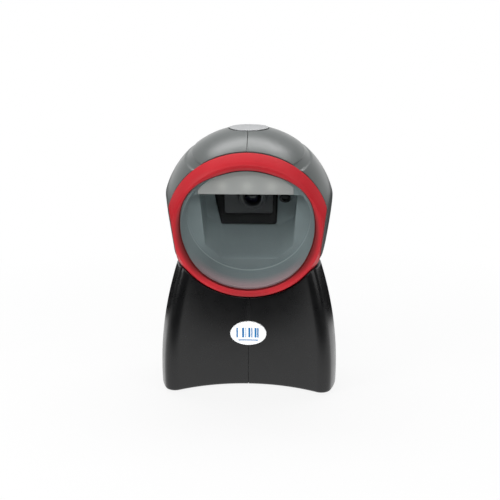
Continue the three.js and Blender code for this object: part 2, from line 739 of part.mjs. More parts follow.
function cameraEngine(parent) {
  let housing = solid(raised(polygon(housingOutline), housingBack, housingFront));
  housing = housing.subtract(solid(raised(polygon(faceOutline), faceFront, 0)));
  housing = housing.subtract(solid(disc(lensPocket, faceFront - 4, 0, 24).translate(lensX, lensZ, 0)));
  const flange = block([-20.5, -17.4, -23.4], [16.2, 18.4, -21.9]);
  housing = housing.add(solid(flange));
  for (const [x, z] of engineScrews) {
    housing = housing.subtract(solid(disc(passHole, -26, -20, 10).translate(x, z, 0)));
  }
  piece(parent, 'camera_housing', forward(geometryOf(housing)), blackPlastic);
  engineScrews.forEach(([x, z], i) => {
    const body = forward(screw(3.6, 1, 1.8, 3.6));
    piece(parent, `engine_screw_${i + 1}`, body, screwSteel).position.set(x, 23.45, z);
  });

  const barrel = turned([
    [barrelMouth, barrelBack], [barrelRadius, barrelBack], [barrelRadius, barrelFront - 0.8],
    [barrelRadius - 0.5, barrelFront], [barrelMouth + 0.7, barrelFront], [barrelMouth, barrelFront - 1.2],
  ], 24);
  piece(parent, 'lens_barrel', forward(barrel.translate(lensX, lensZ, 0)), blackPlastic);
  const domeEdge = Math.acos((barrelMouth - fit) / lensCurve);
  const dome = arc(0, barrelFront - 9, lensCurve, domeEdge, Math.PI / 2, 4).map((p) => [p.x, p.y]);
  const lensBack = barrelBack + 0.4;
  const glass = turnedSolid([[0, lensBack], [dome[0][0], lensBack], ...dome], 24);
  piece(parent, 'lens_glass', forward(glass.translate(lensX, lensZ, 0)), lensGlass);

  const aimer = turned([
    [1.2, -20.6], [2.3, -20.6], [2.3, -16.6], [1.9, -16.1], [1.2, -16.1],
  ], 14);
  piece(parent, 'aimer_lens', forward(aimer.translate(aimerX, aimerZ, 0)), blackPlastic);
}

function decoderPieces(parent) {
  const back = boardFront - boardThickness;
  let board = solid(block([-27, -12, back], [27, 17, boardFront]));
  for (const [x, z] of standoffs) {
    board = board.subtract(solid(disc(passHole, back - 1, boardFront + 1, 10).translate(x, z, 0)));
  }
  piece(parent, 'decoder_board', forward(geometryOf(board)), boardGreen);
  standoffs.forEach(([x, z], i) => {
    const body = forward(screw(3.8, 1, 1.8, 5));
    piece(parent, `board_screw_${i + 1}`, body, screwSteel).position.set(x, -back + 0.05, z);
  });
  const beeper = forward(ring(1, 5.5, back - 4.3, back - fit, 20).translate(-12, 3, 0));
  piece(parent, 'beeper', beeper, blackPlastic);
  piece(parent, 'board_connector', forward(block([2, -9, back - 3.8], [14, -4, back - fit])), whitePlastic);
  piece(parent, 'engine_flex', flexRibbon(), copperFlex);
}

// A flat ribbon that loops once between the camera housing and the decoder board.
function flexRibbon() {
  const half = 0.15;
  const bend = arc(0, 0, 1.3 + half, -Math.PI / 2, Math.PI / 2, 6);
  const innerBend = arc(0, 0, 1.3 - half, Math.PI / 2, -Math.PI / 2, 6);
  const outline = new THREE.Shape([
    new THREE.Vector2(-8, -1.3 - half), ...bend, new THREE.Vector2(-8, 1.3 + half),
    new THREE.Vector2(-8, 1.3 - half), ...innerBend, new THREE.Vector2(-8, -1.3 + half),
  ]);
  return raised(outline, -5, 5).rotateY(-Math.PI / 2).translate(0, 27.4, 4);
}

function upperHarness(parent) {
  // Points are [x, forward, up] in the head.
  const run = [[8, -36.6, -6.5], [8, -35, -14], [5, -28, -23], [2, -15, -29.5], [0, -4, -31]];
  const points = run.map(([x, ahead, up]) => [x, -ahead, up]);
  piece(parent, 'harness_upper', cable(points, 1.4), cableBlack);
}

// ---------------------------------------------------------------- trigger button

const capHubRadius = 5.5;
const capHubLow = 41.5;
const capThickness = 1.6;
const capEdge = 0.5;
const guideLow = 42;
const guideTop = 42.9;
const guideRimTop = 43.4;
const guideRadius = 13;
const switchBoardTop = 36.1;
const guidePosts = [-9.5, 9.5];

function buttonPieces(parent) {
  const button = new THREE.Group();
  button.rotation.x = -buttonLean;
  parent.add(button);

  const cap = turnedSolid([
    [0, capHubLow], [capHubRadius, capHubLow], [capHubRadius, buttonTop - capThickness],
    [buttonRadius, buttonTop - capThickness], [buttonRadius, buttonTop - capEdge],
    [buttonRadius - capEdge, buttonTop], [0, buttonTop],
  ], 32);
  piece(button, 'button_cap', cap, silverPlastic);
  piece(button, 'button_plunger', disc(1.5, 38.4, 41.2, 16), blackPlastic);

  const rim = turned([
    [capHubRadius + 0.7, guideLow], [guideRadius, guideLow], [guideRadius, guideRimTop],
    [guideRadius - 1.2, guideRimTop], [guideRadius - 1.2, guideTop], [capHubRadius + 0.7, guideTop],
  ], 20);
  let guide = solid(rim);
  for (const x of guidePosts) {
    guide = guide.add(solid(disc(2, switchBoardTop + fit, guideLow + 0.5, 12).translate(x, 0, 0)));
    guide = guide.subtract(solid(disc(pilotHole, 30, 41, 10).translate(x, 0, 0)));
  }
  piece(button, 'button_guide', guide, blackPlastic);

  let board = solid(block([-12, -6, switchBoardTop - 1.4], [12, 6, switchBoardTop]));
  for (const x of guidePosts) {
    board = board.subtract(solid(disc(passHole, 30, 41, 10).translate(x, 0, 0)));
  }
  piece(button, 'button_board', board, boardGreen);
  guidePosts.forEach((x, i) => {
    const body = screw(3.4, 0.9, 1.7, 5);
    piece(button, `button_screw_${i + 1}`, body, screwSteel).position.set(x, 0, switchBoardTop - 1.45);
  });

  const switchCase = solid(block([-3, -3, switchBoardTop + fit], [3, 3, 39.6]));
  const well = solid(disc(1.9, 36.9, 42, 16));
  piece(button, 'tact_switch', switchCase.subtract(well), blackPlastic);
}

// ---------------------------------------------------------------- assembly

const scanner = new THREE.Group();

const base = new THREE.Group();
baseShells(base);
bottomPieces(base);
badge(base);
cradleLiner(base);
cableJack(base);
clampPieces(base);
lowerHarness(base);
scanner.add(base);

const head = new THREE.Group();
head.position.set(0, 0, headCentreZ);
head.rotation.x = headTilt;
headShells(head);
bezelRing(head);
windowPieces(head);
lightShroud(head);
shroudScrews(head);
visorPieces(head);
cameraEngine(head);
decoderPieces(head);
upperHarness(head);
buttonPieces(head);
scanner.add(head);

export default scanner;
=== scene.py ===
"""Looks of a hands-free desktop barcode scanner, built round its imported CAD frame.

Lengths are millimetres until a mesh is made; Blender's own unit is the metre. Pieces of the head
are built in the head's own frame: origin at the centre of the ball, window towards -Y, up +Z.
"""

import json
import math
from functools import cache

import bmesh
import bpy
from mathutils import Matrix, Vector

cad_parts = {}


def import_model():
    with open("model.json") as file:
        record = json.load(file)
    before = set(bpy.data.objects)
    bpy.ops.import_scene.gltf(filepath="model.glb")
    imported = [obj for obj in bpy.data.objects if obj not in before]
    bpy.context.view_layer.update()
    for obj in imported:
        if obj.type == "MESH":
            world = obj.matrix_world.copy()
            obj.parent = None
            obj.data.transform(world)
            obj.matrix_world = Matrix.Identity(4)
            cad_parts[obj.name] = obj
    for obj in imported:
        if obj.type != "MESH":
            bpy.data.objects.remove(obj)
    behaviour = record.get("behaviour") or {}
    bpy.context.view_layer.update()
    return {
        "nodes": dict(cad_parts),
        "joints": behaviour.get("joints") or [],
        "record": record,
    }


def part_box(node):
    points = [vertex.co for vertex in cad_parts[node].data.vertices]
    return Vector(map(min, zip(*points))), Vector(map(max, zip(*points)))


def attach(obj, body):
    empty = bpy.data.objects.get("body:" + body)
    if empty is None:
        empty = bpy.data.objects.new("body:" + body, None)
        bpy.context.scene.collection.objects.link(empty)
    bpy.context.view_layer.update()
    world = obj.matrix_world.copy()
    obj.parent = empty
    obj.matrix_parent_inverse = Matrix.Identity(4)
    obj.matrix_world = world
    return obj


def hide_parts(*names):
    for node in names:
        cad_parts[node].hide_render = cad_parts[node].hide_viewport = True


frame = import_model()

# ------------------------------------------------------------------ sizes

MM = 0.001
joints = {joint["name"]: joint for joint in frame["joints"]}


def middle(node):
    """Centre of a CAD node's box, in millimetres."""
    low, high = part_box(node)
    return (low + high) / 2 / MM


HEAD_CENTRE = Vector(joints["head_tilt"]["pos_m"]) / MM
AIM = (middle("window") - HEAD_CENTRE).normalized()
HEAD_TILT = math.atan2(-AIM.z, -AIM.y)
BUTTON_OUT = -Vector(joints["trigger_press"]["axis"])
BUTTON_LEAN = HEAD_TILT - math.atan2(-BUTTON_OUT.y, BUTTON_OUT.z)
AT_HEAD = Matrix.Translation(HEAD_CENTRE * MM) @ Matrix.Rotation(HEAD_TILT, 4, "X")
AT_BUTTON = AT_HEAD @ Matrix.Rotation(-BUTTON_LEAN, 4, "X")

HEAD_RADIUS = 48.0
HEAD_WALL = 2.2
SHELL_FLAT = 44.7  # flat on each side of the head, from its centre
RING_FLAT = 44.0
FLAT_FORWARD = math.radians(9.8)
FLAT_DOWN = math.radians(5)
SHELL_EDGE = 18.7  # the shell stops this far in front of the head centre
HALF_SEAM = 0.12
UNDERSIDE = -30
GROOVE_TOP = 37.05
GROOVE_LOW = 33.35
GROOVE_DEPTH = 0.6

RING_BACK = 19.9
RING_SPHERE = 48.7
RING_BORE = 39.2
RING_LIP = 27.2
RING_LIP_RADIUS = 37.0
LIP_ROOT = 39.6
LIP_ROUND = 39.0  # the lip is shaped inside this radius, and the ring is round outside it
OPENING_CORNER = 52  # directions from straight up, in degrees
OPENING_SIDE = 108
OPENING_SIDE_IN = 0.8
WINDOW_BACK = 23.5
WINDOW_FRONT = 25.0
WINDOW_EDGE = 38.8
WINDOW_CHAMFER = 0.2
LIP_BACK = WINDOW_FRONT + 0.9
GASKET_RADIUS = 36.2

SHROUD_FRONT = 23.3
SHROUD_WALL = 1.2
FLANGE_BACK = 17.3
FLANGE_RADIUS = 37.8
FUNNEL_RADIUS = 36.1
LEDGE = 7.2
LEDGE_RADIUS = 34.3
WELL_BACK = -17.5
WELL_FLOOR = -27
WELL_FLOOR_RISE = 8.5
WELL_CORNERS = [(-27.3, 21), (-25, -18.5), (-16.5, WELL_FLOOR), (16.5, WELL_FLOOR), (25, -18.5), (27.3, 21)]
VISOR_CHORD = 20.3
VISOR_RADIUS = 35.5
VISOR_BAND = 0.6
VISOR_BACK = 18.8
VISOR_FRONT = 20.8
ROOF_TOP = 21
ROOF_HALF_WIDTH = 27
PANEL_LEFT = -26.5
PANEL_RIGHT = 24.8

HOUSING = [(-22.6, 13), (-17.3, -17.4), (15.4, -17.4), (16.2, 13)]
HOUSING_GAP = 0.3
HOUSING_FRONT = -15.6
HOUSING_FACE = -17.4
HOUSING_BACK = -25.4
LENS_POCKET = 8.5
LENS_FRONT = -15.4
LENS_BACK = -20.9
AIMER_HOLE = 2.7

BUTTON_RADIUS = 10.75
BUTTON_TOP = 47.2
BUTTON_RIM = 1.2
BUTTON_DISH = 0.18
BUTTON_THICKNESS = 1.6
BUTTON_HUB = 5.5
BUTTON_HUB_END = 41.5
BUTTON_HOLE = 11.15

BASE_HALF_WIDTH = 51.1
BASE_WIDEST = 10  # height of the widest level
BASE_TAPER = 0.0026
BASE_BOTTOM = 1.0
BASE_EDGE = 1.5
BASE_INSIDE = 5.0
BASE_RIM = 72.7
BASE_RIM_EDGE = 0.7
FRONT_RECESS = 11.5
FRONT_RADIUS = 77
CORNER_RADIUS = 6
BASE_WALL = 2.4
FOOT_WALL = 4
SEAM_EDGE = 0.4  # width of the chamfer next to the front and back seams
SEAM_SUNK = 0.15
SOLE_INSET = 4.6
CUP_RADIUS = 49.3
CUP_WALL = 3
POST_LEAN = math.radians(20)
POST_HOLE = 5.4
SLOT_GAP = 0.4
BADGE_HALF_WIDTH = 10.3
BADGE_HALF_HEIGHT = 7.0
BADGE_EDGE = 0.45
BADGE_PROUD = 0.5
BADGE_GAP = 0.25

SIDES = {"left": -1, "right": 1}
SUPPORT = 0.35  # distance of the first row of faces from an edge, which keeps the edge crisp
BACK_COLUMNS = 84
RING_COLUMNS = 24
CAP_ROWS = 22
BAND_ROWS = 52
SHROUD_COLUMNS = 288
FUNNEL_ROWS = 12
WELL_ROWS = 10
BADGE_COLUMNS = 96


# ------------------------------------------------------------------ mesh building

def placed(name, data):
    """An object in the scene that shows a mesh, a lamp or a camera."""
    holder = bpy.data.objects.new(name, data)
    bpy.context.scene.collection.objects.link(holder)
    return holder


def build(name, points, faces):
    """A closed mesh piece from points in millimetres."""
    mesh = bpy.data.meshes.new(name)
    mesh.from_pydata([tuple(Vector(p) * MM) for p in points], [], faces)
    work = bmesh.new()
    work.from_mesh(mesh)
    bmesh.ops.remove_doubles(work, verts=work.verts, dist=1e-6)
    bmesh.ops.recalc_face_normals(work, faces=work.faces)
    work.to_mesh(mesh)
    work.free()
    return placed(name, mesh)


def settle(piece):
    """Applies a piece's modifiers to its mesh."""
    bpy.context.view_layer.update()
    graph = bpy.context.evaluated_depsgraph_get()
    mesh = bpy.data.meshes.new_from_object(piece.evaluated_get(graph))
    piece.modifiers.clear()
    piece.data = mesh
    return piece


def thicken(sheet, thickness):
    """Gives an open sheet a wall: inwards, towards the origin, or outwards if negative."""
    if sum(face.area * face.normal.dot(face.center) for face in sheet.data.polygons) < 0:
        sheet.data.flip_normals()
    wall = sheet.modifiers.new("wall", "SOLIDIFY")
    wall.thickness = abs(thickness) * MM
    wall.offset = -1 if thickness > 0 else 1
    wall.edge_crease_outer = 0.5
    wall.edge_crease_inner = 0.8
    return sheet


def shade(piece, sharp_angle=38):
    """Smooth shading that breaks at edges sharper than an angle."""
    piece.data.shade_smooth()
    piece.data.set_sharp_from_angle(angle=math.radians(sharp_angle))
    return piece


def combine(piece, operation, others):
    """Joins other pieces to a piece or takes them out of it, and uses them up."""
    for other in others:
        tool = piece.modifiers.new("combine", "BOOLEAN")
        tool.operation = operation
        tool.solver = "EXACT"
        tool.object = other
        settle(piece)
        bpy.data.objects.remove(other)
    return piece


def cut(piece, *cutters):
    return combine(piece, "DIFFERENCE", cutters)


def join(piece, *parts):
    return combine(piece, "UNION", parts)


def bevel(piece, width, segments=3, angle=40):
    """Rounds a piece's sharp edges."""
    tool = piece.modifiers.new("bevel", "BEVEL")
    tool.width = width * MM
    tool.segments = segments
    tool.limit_method = "ANGLE"
    tool.angle_limit = math.radians(angle)
    return settle(piece)


def grid(rows, first=0, closed=False):
    """Quads between rows of points that are numbered one after another from first."""
    faces = []
    width = len(rows[0])
    for i in range(len(rows) - 1):
        for j in range(width if closed else width - 1):
            a = first + i * width + j
            b = first + i * width + (j + 1) % width
            faces.append((a, b, b + width, a + width))
    return faces


def forward(x, up, ahead):
    """A point in the head's frame from its place across, up and ahead along the window axis."""
    return (x, -ahead, up)


def upward(x, y, height):
    return (x, y, height)


def full_turn(steps):
    """Angles that are evenly spread round a circle."""
    return [2 * math.pi * k / steps for k in range(steps)]


def skin(name, rows, *caps):
    """A piece from rows of points that close on themselves; caps are the rows with a face across."""
    width = len(rows[0])
    faces = grid(rows, closed=True)
    faces += [tuple(range(row * width, (row + 1) * width)) for row in caps]
    return build(name, [p for row in rows for p in row], faces)


def lathe(name, profile, place=forward, segments=192):
    """A profile of (radius, height) points turned about its axis.

    A profile that starts and ends on the axis is a solid; any other is taken as a closed outline.
    """
    closed = profile[0][0] > 1e-6
    outline = profile + profile[:1] if closed else profile
    rows = [[place(radius * math.sin(a), radius * math.cos(a), height) for a in full_turn(segments)]
            for radius, height in outline]
    return skin(name, rows)


def arc(centre, radius, start, end, steps):
    """Points of an arc, with angles in degrees."""
    angles = [math.radians(start + (end - start) * k / steps) for k in range(steps + 1)]
    return [(centre[0] + radius * math.cos(a), centre[1] + radius * math.sin(a)) for a in angles]


def rounded(corners, radius, steps=5, closed=True):
    """A polygon with its corners rounded; radius is one number or a list with one for each corner."""
    count = len(corners)
    radii = radius if isinstance(radius, list) else [radius] * count
    outline = []
    for i, corner in enumerate(corners):
        here = Vector(corner)
        if radii[i] <= 0 or (not closed and i in (0, count - 1)):
            outline.append(tuple(here))
            continue
        before = Vector(corners[i - 1]) - here
        after = Vector(corners[(i + 1) % count]) - here
        half = before.angle(after) / 2
        reach = min(radii[i] / math.tan(half), before.length * 0.49, after.length * 0.49)
        start = here + before.normalized() * reach
        end = here + after.normalized() * reach
        centre = here + (before.normalized() + after.normalized()).normalized() * (reach / math.cos(half))
        spoke = start - centre
        sweep = spoke.angle_signed(end - centre)
        for k in range(steps + 1):
            turn = Matrix.Rotation(-sweep * k / steps, 2)
            outline.append(tuple(centre + turn @ spoke))
    return outline


def ellipse(centre, half_width, half_height, steps):
    """Outline of an ellipse; steps is its number of points."""
    return [(centre[0] + half_width * math.cos(a), centre[1] + half_height * math.sin(a))
            for a in full_turn(steps)]


def plate(name, outline, low, high, edge=0.25, place=forward):
    """A flat outline with thickness and rounded edges."""
    rows = [[place(x, y, height) for x, y in outline] for height in (low, high)]
    piece = skin(name, rows, 0, 1)
    return bevel(piece, edge) if edge else piece


def spread(start, end, count, support):
    """Values from start to end, evenly spaced, with one extra value close to each end."""
    even = [start + (end - start) * k / count for k in range(1, count)]
    return [start, start + support, *even, end - support, end]


def at(piece, matrix):
    """Moves a piece's mesh, so that its points are in the row frame like those of the CAD nodes."""
    piece.data.transform(matrix)
    piece.data.update()
    return piece


def on_head(piece, sharp_angle=38):
    """Shades a piece that was made in the head's own frame and moves it to its place."""
    return at(shade(piece, sharp_angle), AT_HEAD)


# ------------------------------------------------------------------ materials

class Nodes:
    """A node tree that is put together step by step."""

    def __init__(self, tree, place):
        self.nodes = tree.nodes
        self.links = tree.links
        self.place = self.add("TexCoord", place)

    def feed(self, socket, value):
        """Gives a socket a link, a colour or a number."""
        if hasattr(value, "is_linked"):
            self.links.new(value, socket)
        elif socket.type == "RGBA":
            socket.default_value = (*value, 1)
        else:
            socket.default_value = value

    def add(self, kind, output, inputs=None, **settings):
        """Adds a node with its settings, feeds its inputs and gives one of its outputs."""
        node = self.nodes.new("ShaderNode" + kind)
        for name, value in settings.items():
            setattr(node, name, value)
        for name, value in (inputs or {}).items():
            self.feed(node.inputs[name], value)
        return node.outputs[output]

    def ramp(self, source, start, end):
        """Maps a value through two (position, value) stops; the values may be colours."""
        node = self.nodes.new("ShaderNodeValToRGB")
        for element, (position, value) in zip(node.color_ramp.elements, (start, end)):
            element.position = position
            element.color = (*value, 1) if isinstance(value, tuple) else (value, value, value, 1)
        self.links.new(source, node.inputs["Fac"])
        return node.outputs["Color"]

    def mix(self, share, first, second):
        """Colour between first and second; share is a socket or a number."""
        return self.add("Mix", 2, {0: share, 6: first, 7: second}, data_type="RGBA")

    def blend(self, share, first, second):
        """Shader between first and second."""
        return self.add("MixShader", 0, {0: share, 1: first, 2: second})

    def math(self, operation, first, second=0.0):
        return self.add("Math", 0, {0: first, 1: second}, operation=operation)

    def times(self, first, second):
        return self.math("MULTIPLY", first, second)

    def square_sum(self, first, second):
        return self.math("ADD", self.times(first, first), self.times(second, second))

    def within(self, value, centre, reach):
        """1 where a value is nearer than a reach to a centre, 0 elsewhere."""
        gap = self.math("ABSOLUTE", self.math("SUBTRACT", value, centre))
        return self.math("LESS_THAN", gap, reach)

    def between(self, source, start, end):
        """How far a value in metres has gone from start to end, in millimetres: 0 to 1 with soft ends."""
        limits = {"From Min": start * MM, "From Max": end * MM}
        return self.add("MapRange", "Result", {"Value": source, **limits}, interpolation_type="SMOOTHSTEP")

    def axis(self, name):
        return self.add("SeparateXYZ", name, {0: self.place})

    def distance(self, squeeze=(1, 1, 1)):
        """Distance from the origin once each axis has been multiplied by its own factor."""
        squeezed = self.add("VectorMath", 0, {0: self.place, 1: squeeze}, operation="MULTIPLY")
        return self.add("VectorMath", "Value", {0: squeezed}, operation="LENGTH")

    def camera_ray(self):
        """1 for what the camera itself sees, 0 for light that falls on the object."""
        return self.add("LightPath", "Is Camera Ray")

    def noise(self, size, detail=3, roughness=0.5):
        """Noise whose features are about size millimetres across."""
        shape = {"Scale": 1 / (size * MM), "Detail": detail, "Roughness": roughness}
        return self.add("TexNoise", "Fac", {"Vector": self.place, **shape})


class Finish(Nodes):
    """A material; it can be laid out in the head's own frame."""

    def __init__(self, name, in_head=False):
        self.material = bpy.data.materials.new(name)
        self.material.use_nodes = True
        super().__init__(self.material.node_tree, "Object")
        self.shader = self.nodes["Principled BSDF"]
        if in_head:
            turn, move = (-HEAD_TILT, 0, 0), AT_HEAD.inverted().translation
            self.place = self.add("Mapping", 0, {"Vector": self.place, "Rotation": turn, "Location": move})

    def set(self, **values):
        for name, value in values.items():
            self.feed(self.shader.inputs[name.replace("_", " ")], value)

    def show(self, surface):
        """Makes a shader the material's surface."""
        self.feed(self.nodes["Material Output"].inputs["Surface"], surface)

    def mottling(self, colour, size, spread):
        """A colour that drifts by a share to either side over patches of a size."""
        dark, light = shifted(colour, 1 - spread), shifted(colour, 1 + spread)
        return self.ramp(self.noise(size, 4), (0.3, dark), (0.7, light))

    def roughness(self, low, high, size=6, detail=5):
        """Roughness that drifts between two values over patches of a size."""
        self.set(Roughness=self.ramp(self.noise(size, detail), (0.3, low), (0.7, high)))

    def grain(self, size, height, detail=2, roughness=0.6):
        """A fine relief of up to height millimetres."""
        relief = self.noise(size, detail, roughness)
        shape = {"Strength": 1.0, "Distance": height * MM, "Height": relief}
        self.set(Normal=self.add("Bump", "Normal", shape))

    def worn_edges(self):
        """How much an edge has been rubbed: 0 on a face, 1 on a sharp outer edge."""
        return self.ramp(self.add("NewGeometry", "Pointiness"), (0.52, 0.0), (0.62, 1.0))


def shifted(colour, factor):
    return tuple(min(1.0, channel * factor) for channel in colour)


def moulded(name, colour, rough, grain=0.35, relief=0.02, tone=0.06, wear=0.15, shine=0.5):
    """Moulded plastic: fine spark-eroded grain, slight mottling, handled patches and rubbed edges."""
    finish = Finish(name)
    specks = finish.ramp(finish.noise(0.5, 2, 0.7), (0.62, 0.0), (0.78, 1.0))
    toned = finish.mix(finish.times(specks, 0.12), finish.mottling(colour, 14, tone), shifted(colour, 1.5))
    worn = finish.times(finish.worn_edges(), wear)
    finish.set(Base_Color=finish.mix(worn, toned, shifted(colour, 2.2)), Specular_IOR_Level=shine)
    finish.roughness(rough - 0.02, rough + 0.03)
    finish.grain(grain, relief)
    return finish.material


GREY = (0.116, 0.128, 0.126)
BLACK = (0.0028, 0.003, 0.0034)
JET = (0.004, 0.004, 0.0045)
# grey of the painted reflected light on the housing's face
LIT_FACE_GREY = (0.17, 0.167, 0.17)
BARREL_GREY = (0.13, 0.128, 0.13)
INNER_GREY = (0.345, 0.395, 0.405)
# grey of the painted highlight along the shroud's ledge
LEDGE_HIGHLIGHT_GREY = (0.62, 0.67, 0.68)
# grey reddened by painted light bounced from the ring
RED_BOUNCE_GREY = (0.62, 0.41, 0.435)
RED = (0.6, 0.016, 0.027)
# red of the painted shade on the ring
SHADE_RED = (0.2, 0.008, 0.01)
INK_BLUE = (0.005, 0.13, 0.33)


def glass_finish():
    """Coated window: clear, with a weak reflection that grows at a glancing angle, faintly smeared."""
    finish = Finish("smoked_glass")
    clear = finish.add("BsdfTransparent", 0, {"Color": (0.93, 0.95, 0.95)})
    smear = finish.ramp(finish.noise(9, 5), (0.35, 0.01), (0.75, 0.04))
    gloss = finish.add("BsdfGlossy", 0, {"Roughness": smear})
    coated = finish.times(finish.add("Fresnel", 0, {"IOR": 1.45}), 0.2)
    finish.show(finish.blend(coated, clear, gloss))
    return finish.material


def shroud_finish():
    """Grey moulded plastic, with painted shade low down, a painted highlight along the ledge's edge, and
    painted red light bounced from the ring.
    """
    finish = Finish("inner_grey", in_head=True)
    ahead = finish.times(finish.axis("Y"), -1)
    low = finish.between(finish.axis("Z"), -14, -30)
    plain = finish.mottling(INNER_GREY, 10, 0.05)
    # painted shade: the grey darkens low down in the well
    shaded = finish.mix(finish.times(low, 0.3), plain, shifted(INNER_GREY, 0.4))
    # painted highlight along the ledge's edge
    ledge_highlight = finish.times(finish.within(ahead, (LEDGE + 1.0) * MM, 0.5 * MM), 0.6)
    # painted red light bounced from the ring, near the front and low down
    red_bounce = finish.times(finish.between(ahead, SHROUD_FRONT - 9, SHROUD_FRONT), low)
    finish.set(Base_Color=finish.mix(red_bounce, finish.mix(ledge_highlight, shaded, LEDGE_HIGHLIGHT_GREY), RED_BOUNCE_GREY))
    finish.roughness(0.42, 0.54)
    finish.grain(0.35, 0.01)
    return finish.material


def ring_finish():
    """Red plastic, with painted shade at its sides where the lip turns in, and low down on its underside."""
    finish = Finish("red_plastic", in_head=True)
    up = finish.axis("Z")
    radius = finish.math("SQRT", finish.square_sum(finish.axis("X"), up))
    front = finish.math("LESS_THAN", finish.axis("Y"), -WINDOW_FRONT * MM)
    beside = finish.times(finish.between(up, 36, 12), finish.between(up, -37, -20))
    # painted shade where the lip turns in at the sides
    lip = finish.times(finish.times(finish.between(radius, LIP_ROOT, 36.4), front), beside)
    # painted shade low down on the underside
    under = finish.times(finish.between(up, -34, -42), 0.6)
    dark = finish.math("MAXIMUM", lip, under)
    colour = finish.mix(dark, finish.mottling(RED, 14, 0.05), SHADE_RED)
    finish.set(Base_Color=colour, Specular_IOR_Level=0.35)
    finish.roughness(0.4, 0.5)
    finish.grain(0.4, 0.006)
    return finish.material


def gasket_finish():
    """Black rubber; lower down it carries painted red light from the ring beside it."""
    finish = Finish("gasket_rubber", in_head=True)
    low = finish.between(finish.axis("Z"), 30, 5)
    # painted red light from the ring, stronger lower down
    colour = finish.mix(low, (0.004, 0.003, 0.003), (0.12, 0.008, 0.009))
    finish.set(Base_Color=colour, Specular_IOR_Level=0.2)
    finish.roughness(0.6, 0.7, 5, 3)
    finish.grain(0.5, 0.01, roughness=0.5)
    return finish.material


def housing_finish():
    """Camera housing with a dark grey face, which is painted reflected light; its raised rim, the front 0.8
    mm, is black.
    """
    finish = Finish("housing_black", in_head=True)
    rim = finish.math("LESS_THAN", finish.axis("Y"), (0.8 - HOUSING_FRONT) * MM)
    # the face's dark grey is painted reflected light; the rim keeps the plastic's black
    finish.set(Base_Color=finish.mix(rim, LIT_FACE_GREY, (0.0008, 0.0008, 0.0013)), Specular_IOR_Level=0.25)
    finish.roughness(0.4, 0.5)
    finish.grain(0.3, 0.008)
    return finish.material


def diffuser_finish():
    """Milky panel that glows with painted light, brightest in three soft spots where the LEDs sit behind it.
    """
    finish = Finish("milk_plastic", in_head=True)
    glow = 0.0
    for lamp in ("led_left", "led_centre", "led_right"):
        place = head_point(middle(lamp))
        across_gap = finish.math("SUBTRACT", finish.axis("X"), place.x * MM)
        up_gap = finish.math("SUBTRACT", finish.axis("Z"), (place.z + 0.8) * MM)
        square = finish.square_sum(across_gap, up_gap)
        spot = finish.math("EXPONENT", finish.times(square, -1 / (3.0 * MM) ** 2))
        glow = finish.math("ADD", glow, spot)
    # painted light: the panel emits a glow and is lighter in a spot in front of each LED
    finish.set(Base_Color=finish.mix(glow, (0.42, 0.41, 0.4), (0.5, 0.49, 0.47)),
               Emission_Color=finish.mix(glow, (0.32, 0.305, 0.295), (0.47, 0.445, 0.42)),
               Emission_Strength=0.4, Roughness=0.5)
    finish.grain(0.8, 0.03, detail=3, roughness=0.5)
    return finish.material


def lens_finish():
    """Dark coated glass with a blue and violet cast that changes with the angle."""
    finish = Finish("lens_glass")
    facing = finish.add("LayerWeight", "Facing", {"Blend": 0.35})
    cast = finish.ramp(facing, (0.1, (0.006, 0.007, 0.014)), (0.6, (0.03, 0.02, 0.06)))
    smear = finish.ramp(finish.noise(2, 3), (0.3, 0.03), (0.8, 0.07))
    finish.set(Base_Color=cast, Roughness=smear, Specular_IOR_Level=0.4)
    finish.set(Coat_Weight=0.4, Coat_Roughness=0.05)
    return finish.material


def metal(name, colour, rough):
    """Machined metal with fine tool marks."""
    finish = Finish(name)
    finish.set(Base_Color=finish.ramp(finish.noise(3, 4), (0.3, shifted(colour, 0.85)), (0.7, colour)),
               Roughness=finish.ramp(finish.noise(1.5, 4, 0.6), (0.3, rough - 0.07), (0.7, rough + 0.08)),
               Metallic=1.0)
    finish.grain(0.25, 0.006, roughness=0.5)
    return finish.material


def badge_finish():
    """White oval with a plain pattern of upright bars and one level line, no lettering; it glows faintly
    with painted light.
    """
    finish = Finish("badge_print")
    across = finish.math("DIVIDE", finish.axis("X"), MM)
    up = finish.math("DIVIDE", finish.math("SUBTRACT", finish.axis("Z"), middle("badge_plate").z * MM), MM)
    stripes = finish.math("SINE", finish.times(across, 3.6))
    wobble = finish.math("SINE", finish.times(across, 1.7))
    bars = finish.math("GREATER_THAN", finish.math("ADD", stripes, wobble), 0.1)
    bar_field = finish.times(finish.within(across, 0, 6.8), finish.within(up, 0.5, 2.9))
    line = finish.times(finish.within(across, 0, 5.6), finish.within(up, -3.9, 0.3))
    printed = finish.math("MAXIMUM", finish.times(bars, bar_field), line)
    paper = finish.ramp(finish.noise(3, 3), (0.3, (0.72, 0.73, 0.74)), (0.7, (0.8, 0.81, 0.82)))
    ink = finish.mix(printed, paper, INK_BLUE)
    # painted light: the print also glows with its own colour
    finish.set(Base_Color=ink, Emission_Color=ink, Emission_Strength=0.45)
    finish.roughness(0.3, 0.42, 4, 3)
    finish.grain(0.5, 0.008, roughness=0.5)
    return finish.material


def head_point(point):
    """A row-frame point in millimetres, in the head's own frame."""
    return Matrix.Rotation(-HEAD_TILT, 3, "X") @ (Vector(point) - HEAD_CENTRE)


